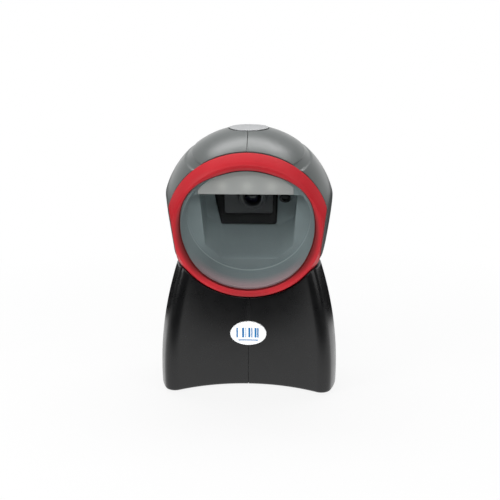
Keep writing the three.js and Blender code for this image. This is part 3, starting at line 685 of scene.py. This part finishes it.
FINISHES = {
    "grey_shell": moulded("grey_shell", GREY, 0.31, 0.4, relief=0.006, tone=0.05, wear=0.12, shine=0.78),
    "black_shell": moulded("black_shell", BLACK, 0.28, 0.4, relief=0.004, tone=0.1, wear=0.25, shine=0.46),
    "red_plastic": ring_finish(),
    "smoked_glass": glass_finish(),
    "inner_grey": shroud_finish(),
    "black_plastic": moulded("black_plastic", JET, 0.45, grain=0.3, relief=0.015, tone=0.15, wear=0.2),
    "milk_plastic": diffuser_finish(),
    "lens_glass": lens_finish(),
    "silver_plastic": metal("silver_plastic", (0.57, 0.58, 0.59), 0.42),
    "rubber": moulded("rubber", (0.012, 0.012, 0.012), 0.75, grain=0.6, relief=0.05, tone=0.2, wear=0.0),
    "steel": metal("steel", (0.45, 0.45, 0.46), 0.35),
    "screw_steel": metal("screw_steel", (0.2, 0.2, 0.21), 0.35),
    "circuit_board": moulded("circuit_board", (0.01, 0.09, 0.04), 0.4, grain=0.8, tone=0.2, wear=0.0),
    "white_plastic": moulded("white_plastic", (0.7, 0.7, 0.68), 0.4),
    "cable_black": moulded("cable_black", (0.014, 0.014, 0.014), 0.55, grain=0.4),
    "copper_flex": moulded("copper_flex", (0.42, 0.18, 0.04), 0.4, grain=0.6, relief=0.01),
}


# ------------------------------------------------------------------ head shells

def flattened(point, distance, softness=0.7):
    """Moves a point of the head that lies beyond a side flat onto it, with a soft edge."""
    side = math.copysign(1, point[0])
    normal = Vector((side * math.cos(FLAT_DOWN) * math.cos(FLAT_FORWARD),
                     -math.cos(FLAT_DOWN) * math.sin(FLAT_FORWARD), -math.sin(FLAT_DOWN)))
    beyond = normal.dot(Vector(point)) - distance
    if beyond < -softness:
        return tuple(point)
    excess = beyond if beyond > softness else (beyond + softness) ** 2 / (4 * softness)
    return tuple(Vector(point) - normal * excess)


def kept_off_seam(side, x, y, z):
    return (side * max(HALF_SEAM, abs(x)), y, z)


def on_level(side, z, angle, radius=HEAD_RADIUS):
    """A point of the ball at a height, by its angle round the head's upright axis from the front."""
    reach = math.sqrt(max(radius**2 - z**2, 0))
    return kept_off_seam(side, reach * math.sin(angle), -reach * math.cos(angle), z)


def level_angles(z, radius=HEAD_RADIUS):
    """Angles from the ring's edge to the back seam at a height."""
    reach = math.sqrt(radius**2 - z**2)
    return spread(math.acos(SHELL_EDGE / reach), math.pi, BACK_COLUMNS, SUPPORT / reach)


def cap_columns(side, level, axis, hole_at):
    """The shell above or below a level, in columns from the rim of a hole out to the level and ring.

    hole_at gives the hole's reach from its axis, as an angle, in a direction round the axis.
    """
    edge_radius = math.sqrt(HEAD_RADIUS**2 - SHELL_EDGE**2)
    corner = math.acos(abs(level) / edge_radius)
    border = []
    for turn in spread(0, corner, RING_COLUMNS, SUPPORT / edge_radius):
        height = math.copysign(edge_radius * math.cos(turn), level)
        border.append(kept_off_seam(side, edge_radius * math.sin(turn), -SHELL_EDGE, height))
    border += [on_level(side, level, angle) for angle in level_angles(level)[1:]]
    columns = []
    for point in border:
        far = axis.angle(Vector(point))
        across = (Vector(point).normalized() - axis * math.cos(far)).normalized()
        column = []
        for angle in spread(hole_at(across), far, CAP_ROWS, SUPPORT / HEAD_RADIUS):
            column.append((axis * math.cos(angle) + across * math.sin(angle)) * HEAD_RADIUS)
        columns.append([kept_off_seam(side, *p) for p in column[:-1]] + [point])
    return columns


def band_rows(side):
    """The groove and the shell below it, down to the underside, in level rows."""
    floor_radius = HEAD_RADIUS - GROOVE_DEPTH
    edge = [(0, HEAD_RADIUS), (0.18, HEAD_RADIUS - 0.3), (0.45, floor_radius), (1.2, floor_radius)]
    levels = [(GROOVE_TOP - inside, radius) for inside, radius in edge]
    levels += [(GROOVE_LOW + inside, radius) for inside, radius in reversed(edge)]
    levels.append((GROOVE_LOW - 0.4, HEAD_RADIUS))
    top = math.asin((GROOVE_LOW - 2) / HEAD_RADIUS)
    bottom = math.asin(UNDERSIDE / HEAD_RADIUS)
    for k in range(BAND_ROWS + 1):
        levels.append((HEAD_RADIUS * math.sin(top + (bottom - top) * k / BAND_ROWS), HEAD_RADIUS))
    return [[flattened(on_level(side, z, angle, radius), SHELL_FLAT) for angle in level_angles(z, radius)]
            for z, radius in levels]


def button_hole(across):
    """Reach of the button's hole: it is round, so it is the same in every direction."""
    return math.asin(BUTTON_HOLE / HEAD_RADIUS)


def post_slot(across):
    """Reach of the slot for the tilting post: long from front to back, with round ends."""
    up, down = (math.radians(limit) for limit in joints["head_tilt"]["range_deg"])
    straight = (down - up) / 2
    half_width = math.asin((POST_HOLE + SLOT_GAP) / HEAD_RADIUS)
    sideways = abs(across.x)
    along = math.sqrt(1 - sideways**2)
    if sideways * straight > half_width * along:
        return half_width / sideways
    return straight * along + math.sqrt(half_width**2 - (straight * sideways) ** 2)


def slot_axis():
    """Middle of the post slot, from the head centre: the post's direction half way through the tilt."""
    middle_tilt = math.radians(sum(joints["head_tilt"]["range_deg"]) / 2)
    turn = POST_LEAN - HEAD_TILT - middle_tilt
    return Vector((0, math.sin(turn), -math.cos(turn)))


def head_shell(name, side):
    """Half of the ball, from the middle seam out, with the button's hole, the groove and the slot."""
    button_axis = Vector((0, math.sin(BUTTON_LEAN), math.cos(BUTTON_LEAN)))
    patches = [
        cap_columns(side, GROOVE_TOP, button_axis, button_hole),
        band_rows(side),
        cap_columns(side, UNDERSIDE, slot_axis(), post_slot),
    ]
    points = []
    faces = []
    for patch in patches:
        faces += grid(patch, first=len(points))
        points += [p for row in patch for p in row]
    shell = thicken(build(name, points, faces), HEAD_WALL)
    smooth = shell.modifiers.new("smooth", "SUBSURF")
    smooth.levels = 1
    settle(shell)
    return on_head(shell)


# ------------------------------------------------------------------ ring, window and shroud

def hump(value, centre, reach):
    """1 at the centre, falling smoothly to 0 at a reach on either side."""
    share = min(1, abs(value - centre) / reach)
    return math.cos(math.pi / 2 * share) ** 2


def bulge(x, up, corner, corner_reach):
    """How far the ring's opening is from a circle: wider at the upper corners, narrower at the sides."""
    angle = abs(math.degrees(math.atan2(x, up)))
    at_corner = corner * hump(angle, OPENING_CORNER, corner_reach)
    return at_corner - OPENING_SIDE_IN * hump(angle, OPENING_SIDE, 34)


def ring_place(x, up, ahead):
    """The ring's lip follows the opening's shape; further out the ring is round, with side flats."""
    radius = math.hypot(x, up)
    if ahead > WINDOW_FRONT and radius < LIP_ROUND:
        change = bulge(x, up, 1.6, 34) * (LIP_ROOT - radius) / (LIP_ROOT - RING_LIP_RADIUS)
        scale = (radius + change) / radius
        x, up = x * scale, up * scale
    return flattened(forward(x, up, ahead), RING_FLAT)


def gasket_place(x, up, ahead):
    """The gasket follows the ring's opening and stays behind the lip at the upper corners."""
    radius = math.hypot(x, up)
    change = bulge(x, up, 2.2, 36) * (WINDOW_EDGE - radius) / (WINDOW_EDGE - GASKET_RADIUS)
    scale = (radius + change) / radius
    return forward(x * scale, up * scale, ahead)


def bezel_ring():
    """Outside on the ball, a rounded crown, and a lip that turns in over the window."""
    start = math.degrees(math.asin(RING_BACK / RING_SPHERE))
    shoulder = math.degrees(math.asin((RING_LIP - 1.7) / RING_SPHERE))
    outside = arc((0, 0), RING_SPHERE, start, shoulder, 14)
    edge = outside[-1]
    corners = [
        outside[0], edge, (edge[0] - 1.3, RING_LIP), (38.6, RING_LIP - 0.1),
        (RING_LIP_RADIUS, LIP_BACK + 0.3), (RING_LIP_RADIUS, LIP_BACK),
        (RING_BORE, LIP_BACK), (RING_BORE, RING_BACK),
    ]
    soft = rounded(corners, [0.35, 0.9, 0.7, 1.1, 0.25, 0.05, 0.1, 0.2], 6)
    first_corner = soft[:7]
    profile = first_corner + outside[1:-1] + soft[7:]
    return on_head(lathe("bezel_ring_fine", profile, ring_place, 384), 60)


def window():
    """Flat round pane with a narrow chamfer."""
    face_radius = WINDOW_EDGE - WINDOW_CHAMFER
    profile = [
        (0, WINDOW_BACK), (face_radius, WINDOW_BACK), (WINDOW_EDGE, WINDOW_BACK + WINDOW_CHAMFER),
        (WINDOW_EDGE, WINDOW_FRONT - WINDOW_CHAMFER), (face_radius, WINDOW_FRONT), (0, WINDOW_FRONT),
    ]
    return on_head(lathe("window_fine", profile))


def gasket():
    """Black ring between the lip and the window; its inner edge shows as a dark line."""
    low, high = WINDOW_FRONT + 0.1, WINDOW_FRONT + 0.75
    corners = [(GASKET_RADIUS, low), (WINDOW_EDGE, low), (WINDOW_EDGE, high), (GASKET_RADIUS, high)]
    return on_head(lathe("window_gasket_fine", rounded(corners, 0.2), gasket_place))


def well_floor(ahead):
    """Height of the well's floor: it rises towards the back."""
    return WELL_FLOOR + (LEDGE - ahead) * WELL_FLOOR_RISE / (LEDGE - WELL_BACK)


def resampled(outline, count):
    """The outline's crossings with rays from its middle, evenly spread from straight up."""
    crossings = []
    for angle in full_turn(count):
        ray = Vector((math.sin(angle), math.cos(angle)))
        reaches = []
        for i, corner in enumerate(outline):
            a = Vector(corner)
            edge = Vector(outline[(i + 1) % len(outline)]) - a
            cross = ray.x * edge.y - ray.y * edge.x
            if abs(cross) < 1e-9:
                continue
            reach = (a.x * edge.y - a.y * edge.x) / cross
            along = (a.x * ray.y - a.y * ray.x) / cross
            if reach > 0 and -1e-9 <= along <= 1 + 1e-9:
                reaches.append(reach)
        crossings.append(tuple(ray * max(reaches)))
    return crossings


def round_row(radius, ahead):
    """One row of the shroud's round part."""
    return [forward(radius * math.sin(a), radius * math.cos(a), ahead) for a in full_turn(SHROUD_COLUMNS)]


def well_row(mouth, ahead, inset=0.0):
    """The well's outline at a depth, with its lower corners fading towards the back."""
    widening = 1 + 0.04 * (LEDGE - ahead) / (LEDGE - WELL_BACK)
    lift = well_floor(ahead) / WELL_FLOOR
    row = []
    for x, z in mouth:
        scale = 1 - inset / max(abs(x), abs(z), 1)
        down = z * lift if z < 0 else z
        row.append(forward(x * scale * widening, down * scale, ahead))
    return row


def light_shroud():
    """Funnel from the window to a flat ledge, and a well with a rising floor behind it."""
    mouth = resampled(rounded(WELL_CORNERS, [0.5, 2.5, 2.5, 2.5, 2.5, 0.5]), SHROUD_COLUMNS)
    funnel_end = LEDGE + 0.3
    flare = FUNNEL_RADIUS - LEDGE_RADIUS
    depth = SHROUD_FRONT - 0.5 - funnel_end
    rows = [
        round_row(FLANGE_RADIUS, FLANGE_BACK), round_row(FLANGE_RADIUS, SHROUD_FRONT - 0.2),
        round_row(FLANGE_RADIUS - 0.2, SHROUD_FRONT), round_row(FUNNEL_RADIUS + 0.3, SHROUD_FRONT),
        round_row(FUNNEL_RADIUS + 0.05, SHROUD_FRONT - 0.2),
    ]
    for k in range(FUNNEL_ROWS, -1, -1):
        share = k / FUNNEL_ROWS
        rows.append(round_row(LEDGE_RADIUS + flare * share, funnel_end + depth * share))
    rows += [round_row(LEDGE_RADIUS - 0.1, LEDGE + 0.08), round_row(LEDGE_RADIUS - 0.35, LEDGE)]
    rows += [well_row(mouth, LEDGE, -0.5), well_row(mouth, LEDGE - 0.1, -0.12)]
    start, end = LEDGE - 0.4, WELL_BACK + 0.3
    rows += [well_row(mouth, start + (end - start) * k / WELL_ROWS) for k in range(WELL_ROWS + 1)]
    rows += [well_row(mouth, WELL_BACK + 0.1, 0.15), well_row(mouth, WELL_BACK, 0.5)]
    shroud = skin("light_shroud_fine", rows, len(rows) - 1)
    settle(thicken(shroud, -SHROUD_WALL))
    opening = [(x + math.copysign(HOUSING_GAP, x), z + math.copysign(HOUSING_GAP, z)) for x, z in HOUSING]
    aimer_place = head_point(middle("aimer_lens"))
    aimer_hole = ellipse((aimer_place.x, aimer_place.z), AIMER_HOLE, AIMER_HOLE, 32)
    cut(shroud, plate("housing_cutter", opening, WELL_BACK - 3, WELL_BACK + 3, 0),
        plate("aimer_cutter", aimer_hole, WELL_BACK - 3, WELL_BACK + 3, 0))
    return on_head(shroud)


# ------------------------------------------------------------------ visor and lamps

def segment(radius, chord, steps=64):
    """Outline of the part of a disc above a level chord."""
    start = math.degrees(math.asin(chord / radius))
    return arc((0, 0), radius, start, 180 - start, steps)


def panel_outline(radius, chord, inset, steps=64):
    """Part of a disc above a chord, cut off by the upright cheeks left and right of the diffuser."""
    left, right = PANEL_LEFT + inset, PANEL_RIGHT - inset
    right_angle = math.degrees(math.acos(right / radius))
    left_angle = math.degrees(math.acos(left / radius))
    return [(left, chord), (right, chord)] + arc((0, 0), radius, right_angle, left_angle, steps)


def visor_frame():
    """Arched band with a cheek on each side of the diffuser, and the roof of the camera's well."""
    frame_band = plate("visor_frame_fine", segment(VISOR_RADIUS, VISOR_CHORD), VISOR_BACK, VISOR_FRONT, 0)
    panel = panel_outline(VISOR_RADIUS - VISOR_BAND, VISOR_CHORD - 2, 0)
    cut(frame_band, plate("panel_cutter", panel, VISOR_BACK - 3, VISOR_FRONT + 3, 0))
    bevel(frame_band, 0.2, 2)
    roof = [(-ROOF_HALF_WIDTH, VISOR_CHORD), (ROOF_HALF_WIDTH, VISOR_CHORD),
            (ROOF_HALF_WIDTH, ROOF_TOP), (-ROOF_HALF_WIDTH, ROOF_TOP)]
    join(frame_band, plate("visor_roof", roof, LEDGE + 0.5, VISOR_BACK + 0.2, 0.15))
    return on_head(frame_band)


def diffuser():
    """Milky panel with a rounded edge."""
    outline = panel_outline(VISOR_RADIUS - VISOR_BAND - 0.2, VISOR_CHORD + 0.1, 0.25)
    return on_head(plate("diffuser_fine", outline, VISOR_BACK + 0.4, VISOR_FRONT - 0.3, 0.3))


# ------------------------------------------------------------------ camera

def camera_housing():
    """Black block with a recessed face and a round pocket for the lens."""
    block = plate("camera_housing_fine", rounded(HOUSING, 1.2), HOUSING_BACK, HOUSING_FRONT, 0.5)
    face = rounded([(-15, 11), (-15, -10.3), (13.1, -10.3), (13.1, 11)], 1.6)
    lens = head_point(middle("lens_barrel"))
    pocket = ellipse((lens.x, lens.z), LENS_POCKET, LENS_POCKET, 64)
    cut(block, plate("face_cutter", face, HOUSING_FACE, HOUSING_FRONT + 5, 0),
        plate("pocket_cutter", pocket, HOUSING_FACE - 4, HOUSING_FRONT + 5, 0))
    bevel(block, 0.25, 2, 50)
    flange = rounded([(-20.5, 18.4), (-20.5, -17.4), (16.2, -17.4), (16.2, 18.4)], 1)
    join(block, plate("flange", flange, HOUSING_BACK + 2, HOUSING_BACK + 3.5))
    return on_head(block)


def at_lens(x, up, ahead):
    place = head_point(middle("lens_barrel"))
    return forward(x + place.x, up + place.z, ahead)


def lens_barrel():
    """Stepped barrel with two retaining rings and a funnel towards the glass."""
    front = LENS_FRONT
    step = LENS_FRONT - 0.4
    corners = [
        (4.9, LENS_BACK), (8.1, LENS_BACK), (8.1, front - 0.5), (7.7, front), (6.9, front), (6.7, step),
        (6.1, step), (5.9, front), (5.4, front), (4.9, front - 1.5),
    ]
    return on_head(lathe("lens_barrel_fine", rounded(corners, 0.12, 3), at_lens, 128), 30)


def lens_glass():
    """Plug with a crowned front."""
    back = LENS_BACK + 0.4
    crown = arc((0, back - 4.1), 7.4, 56, 90, 14)
    profile = [(0, back), (crown[0][0], back)] + crown[:-1] + [(0, crown[-1][1])]
    return on_head(lathe("lens_glass_fine", profile, at_lens, 128))


def aimer():
    """Oval hood with a small lens sunk in it."""
    place = head_point(middle("aimer_lens"))

    def oval(half_width, half_height):
        return ellipse((place.x, place.z), half_width, half_height, 48)

    hood = plate("aimer_lens_fine", oval(2.35, 2.35), -20.6, -17.2, 0)
    join(hood, plate("aimer_rim", oval(3.4, 2.6), -17.3, -15.9, 0.45))
    cut(hood, plate("aimer_bore", oval(1.9, 1.3), -17, -10, 0))
    return on_head(hood)


# ------------------------------------------------------------------ trigger button

def button_cap():
    """Flat disc with a rounded rim and a very slight dish, on a hub.

    Its side tapers in downwards, because the hole narrows inwards through the shell's wall.
    """
    flat = BUTTON_RADIUS - BUTTON_RIM
    top = []
    for k in range(12):
        radius = flat * (1 - k / 12)
        top.append((radius, BUTTON_TOP - BUTTON_DISH * (1 - (radius / flat) ** 2)))
    under = BUTTON_TOP - BUTTON_THICKNESS
    corners = [
        (BUTTON_HUB, BUTTON_HUB_END), (BUTTON_HUB, under), (BUTTON_RADIUS - 0.45, under),
        (BUTTON_RADIUS, under + 1.2), (BUTTON_RADIUS, BUTTON_TOP), (flat, BUTTON_TOP),
    ]
    side = rounded(corners, [0.3, 0.3, 0.1, 0.2, 0.35, 0], 5, closed=False)
    profile = [(0, BUTTON_HUB_END)] + side + top[1:] + [(0, BUTTON_TOP - BUTTON_DISH)]
    return at(shade(lathe("button_cap_fine", profile, upward, 128), 60), AT_BUTTON)


# ------------------------------------------------------------------ base

def base_share(z):
    """Half width of the base at a height, as a share of its widest."""
    return (BASE_HALF_WIDTH - BASE_TAPER * (z - BASE_WIDEST) ** 2) / BASE_HALF_WIDTH


@cache
def half_plan(inset):
    """The base's outline in plan from the front seam to the back seam, on the right."""
    outer = BASE_HALF_WIDTH - inset
    front = FRONT_RADIUS + inset
    corner = CORNER_RADIUS - inset
    front_y = -(FRONT_RECESS + FRONT_RADIUS)
    to_corner = outer - corner
    corner_y = ((front + corner) ** 2 - to_corner**2 - front_y**2) / (-2 * front_y)
    corner_x = math.sqrt(to_corner**2 - corner_y**2)
    corner_angle = math.degrees(math.atan2(corner_y, corner_x))
    front_angle = math.degrees(math.atan2(corner_y - front_y, corner_x))
    front_start = 90 - math.degrees(SEAM_EDGE / front)
    back_end = 90 - math.degrees(SEAM_EDGE / outer)
    outline = [(HALF_SEAM, front_y + front)]
    outline += arc((0, front_y), front, front_start, front_angle, 30)
    outline += arc((corner_x, corner_y), corner, front_angle - 180, corner_angle, 18)[1:]
    outline += arc((0, 0), outer, corner_angle, back_end, 60)[1:]
    outline.append((HALF_SEAM, outer))
    return outline


def wall_point(plan_point, z):
    """A point of the tapered wall at a height, from its place in plan at the widest level."""
    share = base_share(z)
    return Vector((plan_point[0] * share, plan_point[1] * share, z))


def crossing(plan_point, radius):
    """Height at which the tapered wall through a plan point meets a ball round the head centre."""
    low, high = 20.0, 90.0
    x, y = plan_point
    for _ in range(50):
        z = (low + high) / 2
        share = base_share(z)
        gap = math.hypot(x * share, y * share, z - HEAD_CENTRE.z) - radius
        low, high = (z, high) if gap > 0 else (low, z)
    return (low + high) / 2


def on_cup(point, radius):
    """The nearest point straight inwards, at the same height, that lies on the cup."""
    reach = math.sqrt(max(radius**2 - (point.z - HEAD_CENTRE.z) ** 2, 0))
    flat = Vector((point.x, point.y)).normalized() * min(reach, math.hypot(point.x, point.y))
    return Vector((flat.x, flat.y, point.z))


def towards_post(start, radius, count):
    """Points on a ball from a point on it to the edge of the post's hole."""
    axis = Vector((0, math.sin(POST_LEAN), -math.cos(POST_LEAN)))
    arm = (start - HEAD_CENTRE).normalized()
    far = axis.angle(arm)
    across = (arm - axis * math.cos(far)).normalized()
    hole = math.asin(POST_HOLE / radius)
    run = []
    for k in range(1, count + 1):
        angle = far + (hole - far) * k / count
        run.append(HEAD_CENTRE + (axis * math.cos(angle) + across * math.sin(angle)) * radius)
    return run


def curve(start, corner, end, count):
    """Points between start and end on a curve that is drawn towards a corner."""
    shares = [k / count for k in range(1, count)]
    return [start * (1 - t) ** 2 + corner * 2 * t * (1 - t) + end * t**2 for t in shares]


def base_section(outer, inner, foot, sunk):
    """Closed section of the base wall in one upright plane: foot, wall, rim, cup and back down.

    outer gives the plan point of the outside at an inset; inner and foot are plan points.
    """
    section = [wall_point(foot, BASE_BOTTOM)]
    for k in range(9):
        angle = math.pi / 2 * k / 8
        inset = sunk + BASE_EDGE * (1 - math.sin(angle))
        section.append(wall_point(outer(inset), BASE_BOTTOM + BASE_EDGE * (1 - math.cos(angle))))
    wall = outer(sunk)
    cup = CUP_RADIUS + sunk
    rim_z = min(crossing(wall, cup), BASE_RIM)
    low = BASE_BOTTOM + BASE_EDGE
    high = rim_z - BASE_RIM_EDGE
    section += [wall_point(wall, low + (high - low) * k / 28) for k in range(1, 29)]
    edge = wall_point(wall, rim_z)
    run = towards_post(on_cup(edge, cup), cup, 60)
    inside_rim = edge.lerp(run[0], min(1.0, BASE_RIM_EDGE / (run[0] - edge).length))
    section += curve(section[-1], edge, inside_rim, 6)
    section.append(inside_rim)
    section += run[2::3]
    underside = CUP_RADIUS + CUP_WALL
    inside_z = crossing(inner, underside)
    inside_edge = wall_point(inner, inside_z)
    section += reversed([inside_edge] + towards_post(inside_edge, underside, 16))
    section += [wall_point(inner, inside_z + (BASE_INSIDE - inside_z) * k / 14) for k in range(1, 15)]
    section += [wall_point(foot, BASE_INSIDE - 0.2), wall_point(foot, BASE_BOTTOM + 1)]
    return section


def front_face(x, z):
    """How far in front of the base's axis the concave front lies."""
    share = base_share(z)
    return share * (FRONT_RECESS + FRONT_RADIUS - math.sqrt(FRONT_RADIUS**2 - (x / share) ** 2))


def jack_outline(gap):
    """Outline of the cable socket seen from behind, with a gap round it."""
    low, high = (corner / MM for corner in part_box("cable_jack"))
    return [(low.x - gap, low.z - gap), (high.x + gap, low.z - gap),
            (high.x + gap, high.z + gap), (low.x - gap, high.z + gap)]


def base_shell(name, side):
    """Half of the base, from the middle seam out, with its share of the badge's recess and the port."""
    inner = half_plan(BASE_WALL)
    foot = half_plan(FOOT_WALL)
    last = len(inner) - 1
    rows = []
    for i in range(last + 1):
        at_seam = i in (0, last)
        sunk = SEAM_SUNK if at_seam else 0.0
        section = base_section(lambda inset: half_plan(inset)[i], inner[i], foot[i], sunk)
        rows.append([(side * (HALF_SEAM if at_seam else max(HALF_SEAM, p.x)), p.y, p.z) for p in section])
    shell = skin(name, rows, 0, last)
    place = middle("badge_plate")
    half_width, half_height = BADGE_HALF_WIDTH + BADGE_GAP, BADGE_HALF_HEIGHT + BADGE_GAP
    recess = ellipse((place.x, place.z), half_width, half_height, BADGE_COLUMNS)
    cut(shell, plate("port_cutter", rounded(jack_outline(0.3), 0.8), -60, -40, 0),
        plate("badge_cutter", recess, front_face(0, place.z) - 1.0, 40, 0))
    return shade(shell)


def badge():
    """Oval plate that follows the curve of the front, with a rounded edge."""
    place = middle("badge_plate")
    centre = BADGE_HALF_HEIGHT - 0.001
    levels = [(inset, -0.6) for inset in (centre, 3, 0)] + [(0, BADGE_PROUD - BADGE_EDGE)]
    for k in range(1, 6):
        angle = math.pi / 2 * k / 5
        levels.append((BADGE_EDGE * (1 - math.cos(angle)), BADGE_PROUD - BADGE_EDGE * (1 - math.sin(angle))))
    levels += [(inset, BADGE_PROUD) for inset in (1, 2, 3, 4, 5, 6, centre)]
    rows = []
    for inset, lift in levels:
        oval = ellipse((0, place.z), BADGE_HALF_WIDTH - inset, BADGE_HALF_HEIGHT - inset, BADGE_COLUMNS)
        rows.append([(place.x + x, -(front_face(x, z) + lift), z) for x, z in oval])
    return shade(skin("badge_fine", rows, 0, len(rows) - 1), 50)


def rubber_sole():
    """Flat sole inside the base's edge, with its rim rounded."""
    share = base_share(BASE_BOTTOM + BASE_EDGE)
    right = [(x * share, y * share) for x, y in half_plan(SOLE_INSET)[1:-1]]
    outline = right + [(-x, y) for x, y in reversed(right)]
    return shade(plate("rubber_sole_fine", outline, 0, 1.4, 0.4, upward))


def cable_jack():
    """Square block with an open socket for a modular plug, wide below and narrow above."""
    low, high = (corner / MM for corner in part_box("cable_jack"))
    body = plate("cable_jack_fine", jack_outline(0), -high.y, -low.y, 0.3)
    centre = (low.z + high.z) / 2
    mouth = [(-6, -4.3), (6, -4.3), (6, 2.2), (3, 2.2), (3, 4.3), (-3, 4.3), (-3, 2.2), (-6, 2.2)]
    socket = rounded([(x, centre + z) for x, z in mouth], 0.3)
    cut(body, plate("socket_cutter", socket, -60, -low.y - 2.5, 0))
    return shade(body)


# ------------------------------------------------------------------ assembly

def put(piece, body, slot, *nodes, material=None):
    """Gives a finished piece its finish, its body and the CAD nodes it stands for."""
    piece.data.materials.clear()
    piece.data.materials.append(material or FINISHES[slot])
    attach(piece, body)
    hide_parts(*nodes)


def finish_hidden_pieces():
    """Gives every CAD node the finish of its slot; the ones that are seen are replaced below."""
    slots = {subpart["node"]: subpart["material_slot"] for subpart in frame["record"]["subparts"]}
    for name, node in frame["nodes"].items():
        node.data.materials.clear()
        node.data.materials.append(FINISHES[slots[name]])
        shade(node, 32)


finish_hidden_pieces()
for side, sign in SIDES.items():
    put(head_shell(f"head_shell_{side}_fine", sign), "head", "grey_shell", f"head_shell_{side}")
put(bezel_ring(), "head", "red_plastic", "bezel_ring")
put(window(), "head", "smoked_glass", "window")
put(gasket(), "head", "rubber", "window_gasket", material=gasket_finish())
put(light_shroud(), "head", "inner_grey", "light_shroud")
put(visor_frame(), "head", "inner_grey", "visor_frame")
put(diffuser(), "head", "milk_plastic", "diffuser")
put(camera_housing(), "head", "black_plastic", "camera_housing", material=housing_finish())
put(lens_barrel(), "head", "black_plastic", "lens_barrel",
    material=moulded("barrel_grey", BARREL_GREY, 0.4, grain=0.3, relief=0.015, tone=0.1, wear=0.2))
put(lens_glass(), "head", "lens_glass", "lens_glass")
put(aimer(), "head", "black_plastic", "aimer_lens")
put(button_cap(), "button", "silver_plastic", "button_cap")
for side, sign in SIDES.items():
    put(base_shell(f"base_shell_{side}_fine", sign), "base", "black_shell", f"base_shell_{side}")
put(badge(), "base", "white_plastic", "badge_plate", material=badge_finish())
put(rubber_sole(), "base", "rubber", "rubber_sole")
put(cable_jack(), "base", "black_plastic", "cable_jack")


# ------------------------------------------------------------------ stage, lights and camera

def floor_finish():
    """To the camera the floor melts into the white background, with a faint contact shadow.

    To the object it is a bright band from side to side, dark further in front and behind, so that
    the concave front of the base is darkest high up in the middle.
    """
    finish = Finish("floor")
    pale = finish.ramp(finish.noise(40, 3), (0.3, (0.84, 0.84, 0.84)), (0.7, (0.86, 0.86, 0.86)))
    finish.set(Base_Color=pale, Roughness=0.6, Specular_IOR_Level=0.2)
    seen = finish.camera_ray()
    white_share = finish.ramp(finish.distance(), (0.1, 0.86), (0.35, 1.0))
    share = finish.math("MAXIMUM", finish.times(seen, white_share), finish.math("SUBTRACT", 1.0, seen))
    band = finish.ramp(finish.distance(squeeze=(0.3, 1, 1)), (0.108, 1.15), (0.142, 0.0))
    glow = finish.add("Emission", 0, {"Color": finish.mix(seen, band, (1, 1, 1))})
    finish.show(finish.blend(share, finish.shader.outputs[0], glow))
    return finish.material


def floor():
    half = 4.0
    corners = [(-half, -half, 0), (half, -half, 0), (half, half, 0), (-half, half, 0)]
    mesh = bpy.data.meshes.new("floor")
    mesh.from_pydata(corners, [], [(0, 1, 2, 3)])
    mesh.materials.append(floor_finish())
    placed("floor", mesh)


def area_light(name, place, size, power):
    """A rectangular lamp that shines at the middle of the object."""
    lamp = bpy.data.lights.new(name, "AREA")
    lamp.shape = "RECTANGLE"
    lamp.size, lamp.size_y = size
    lamp.energy = power
    holder = placed(name, lamp)
    holder.location = place
    holder.rotation_euler = (Vector((0, 0, 0.1)) - Vector(place)).to_track_quat("-Z", "Y").to_euler()


def world():
    """White to the camera; to the object, a room that is bright behind and overhead, dim in front."""
    sky = bpy.data.worlds.new("world")
    sky.use_nodes = True
    room = Nodes(sky.node_tree, "Generated")

    def fade(axis, low, high, dim, bright):
        limits = {"From Min": low, "From Max": high, "To Min": dim, "To Max": bright}
        return room.add("MapRange", "Result", {"Value": room.axis(axis), **limits})

    behind = room.times(fade("Y", 0.0, 0.9, 0.0, 1.1), fade("Z", 0.1, 0.8, 1.0, 0.2))
    brightness = room.math("ADD", fade("Z", 0.15, 0.9, 0.04, 0.2), behind)
    room.feed(room.nodes["Background"].inputs["Color"], room.mix(room.camera_ray(), brightness, (1, 1, 1)))
    bpy.context.scene.world = sky


def camera():
    """The photograph's view: just above the object, almost straight from the front."""
    target = Vector((0.0005, 0, 0.0786))
    azimuth, elevation, distance = math.radians(2.27), math.radians(14), 0.45
    away = Vector((math.sin(azimuth) * math.cos(elevation), -math.cos(azimuth) * math.cos(elevation),
                   math.sin(elevation)))
    view = bpy.data.cameras.new("camera")
    view.lens = 56.7
    view.sensor_width = 36
    holder = placed("camera", view)
    holder.location = target + away * distance
    holder.rotation_euler = (-away).to_track_quat("-Z", "Y").to_euler()
    bpy.context.scene.camera = holder


floor()
world()
area_light("overhead", (0.0, 0.24, 0.85), (1.1, 0.26), 4.6)
area_light("left", (-0.55, -0.42, 0.36), (0.3, 0.3), 2.1)
area_light("right", (0.5, -0.5, 0.36), (0.5, 0.5), 1.4)
area_light("front", (0.0, -0.74, 0.45), (0.5, 0.2), 2.1)
camera()
bpy.context.scene.view_settings.view_transform = "Standard"
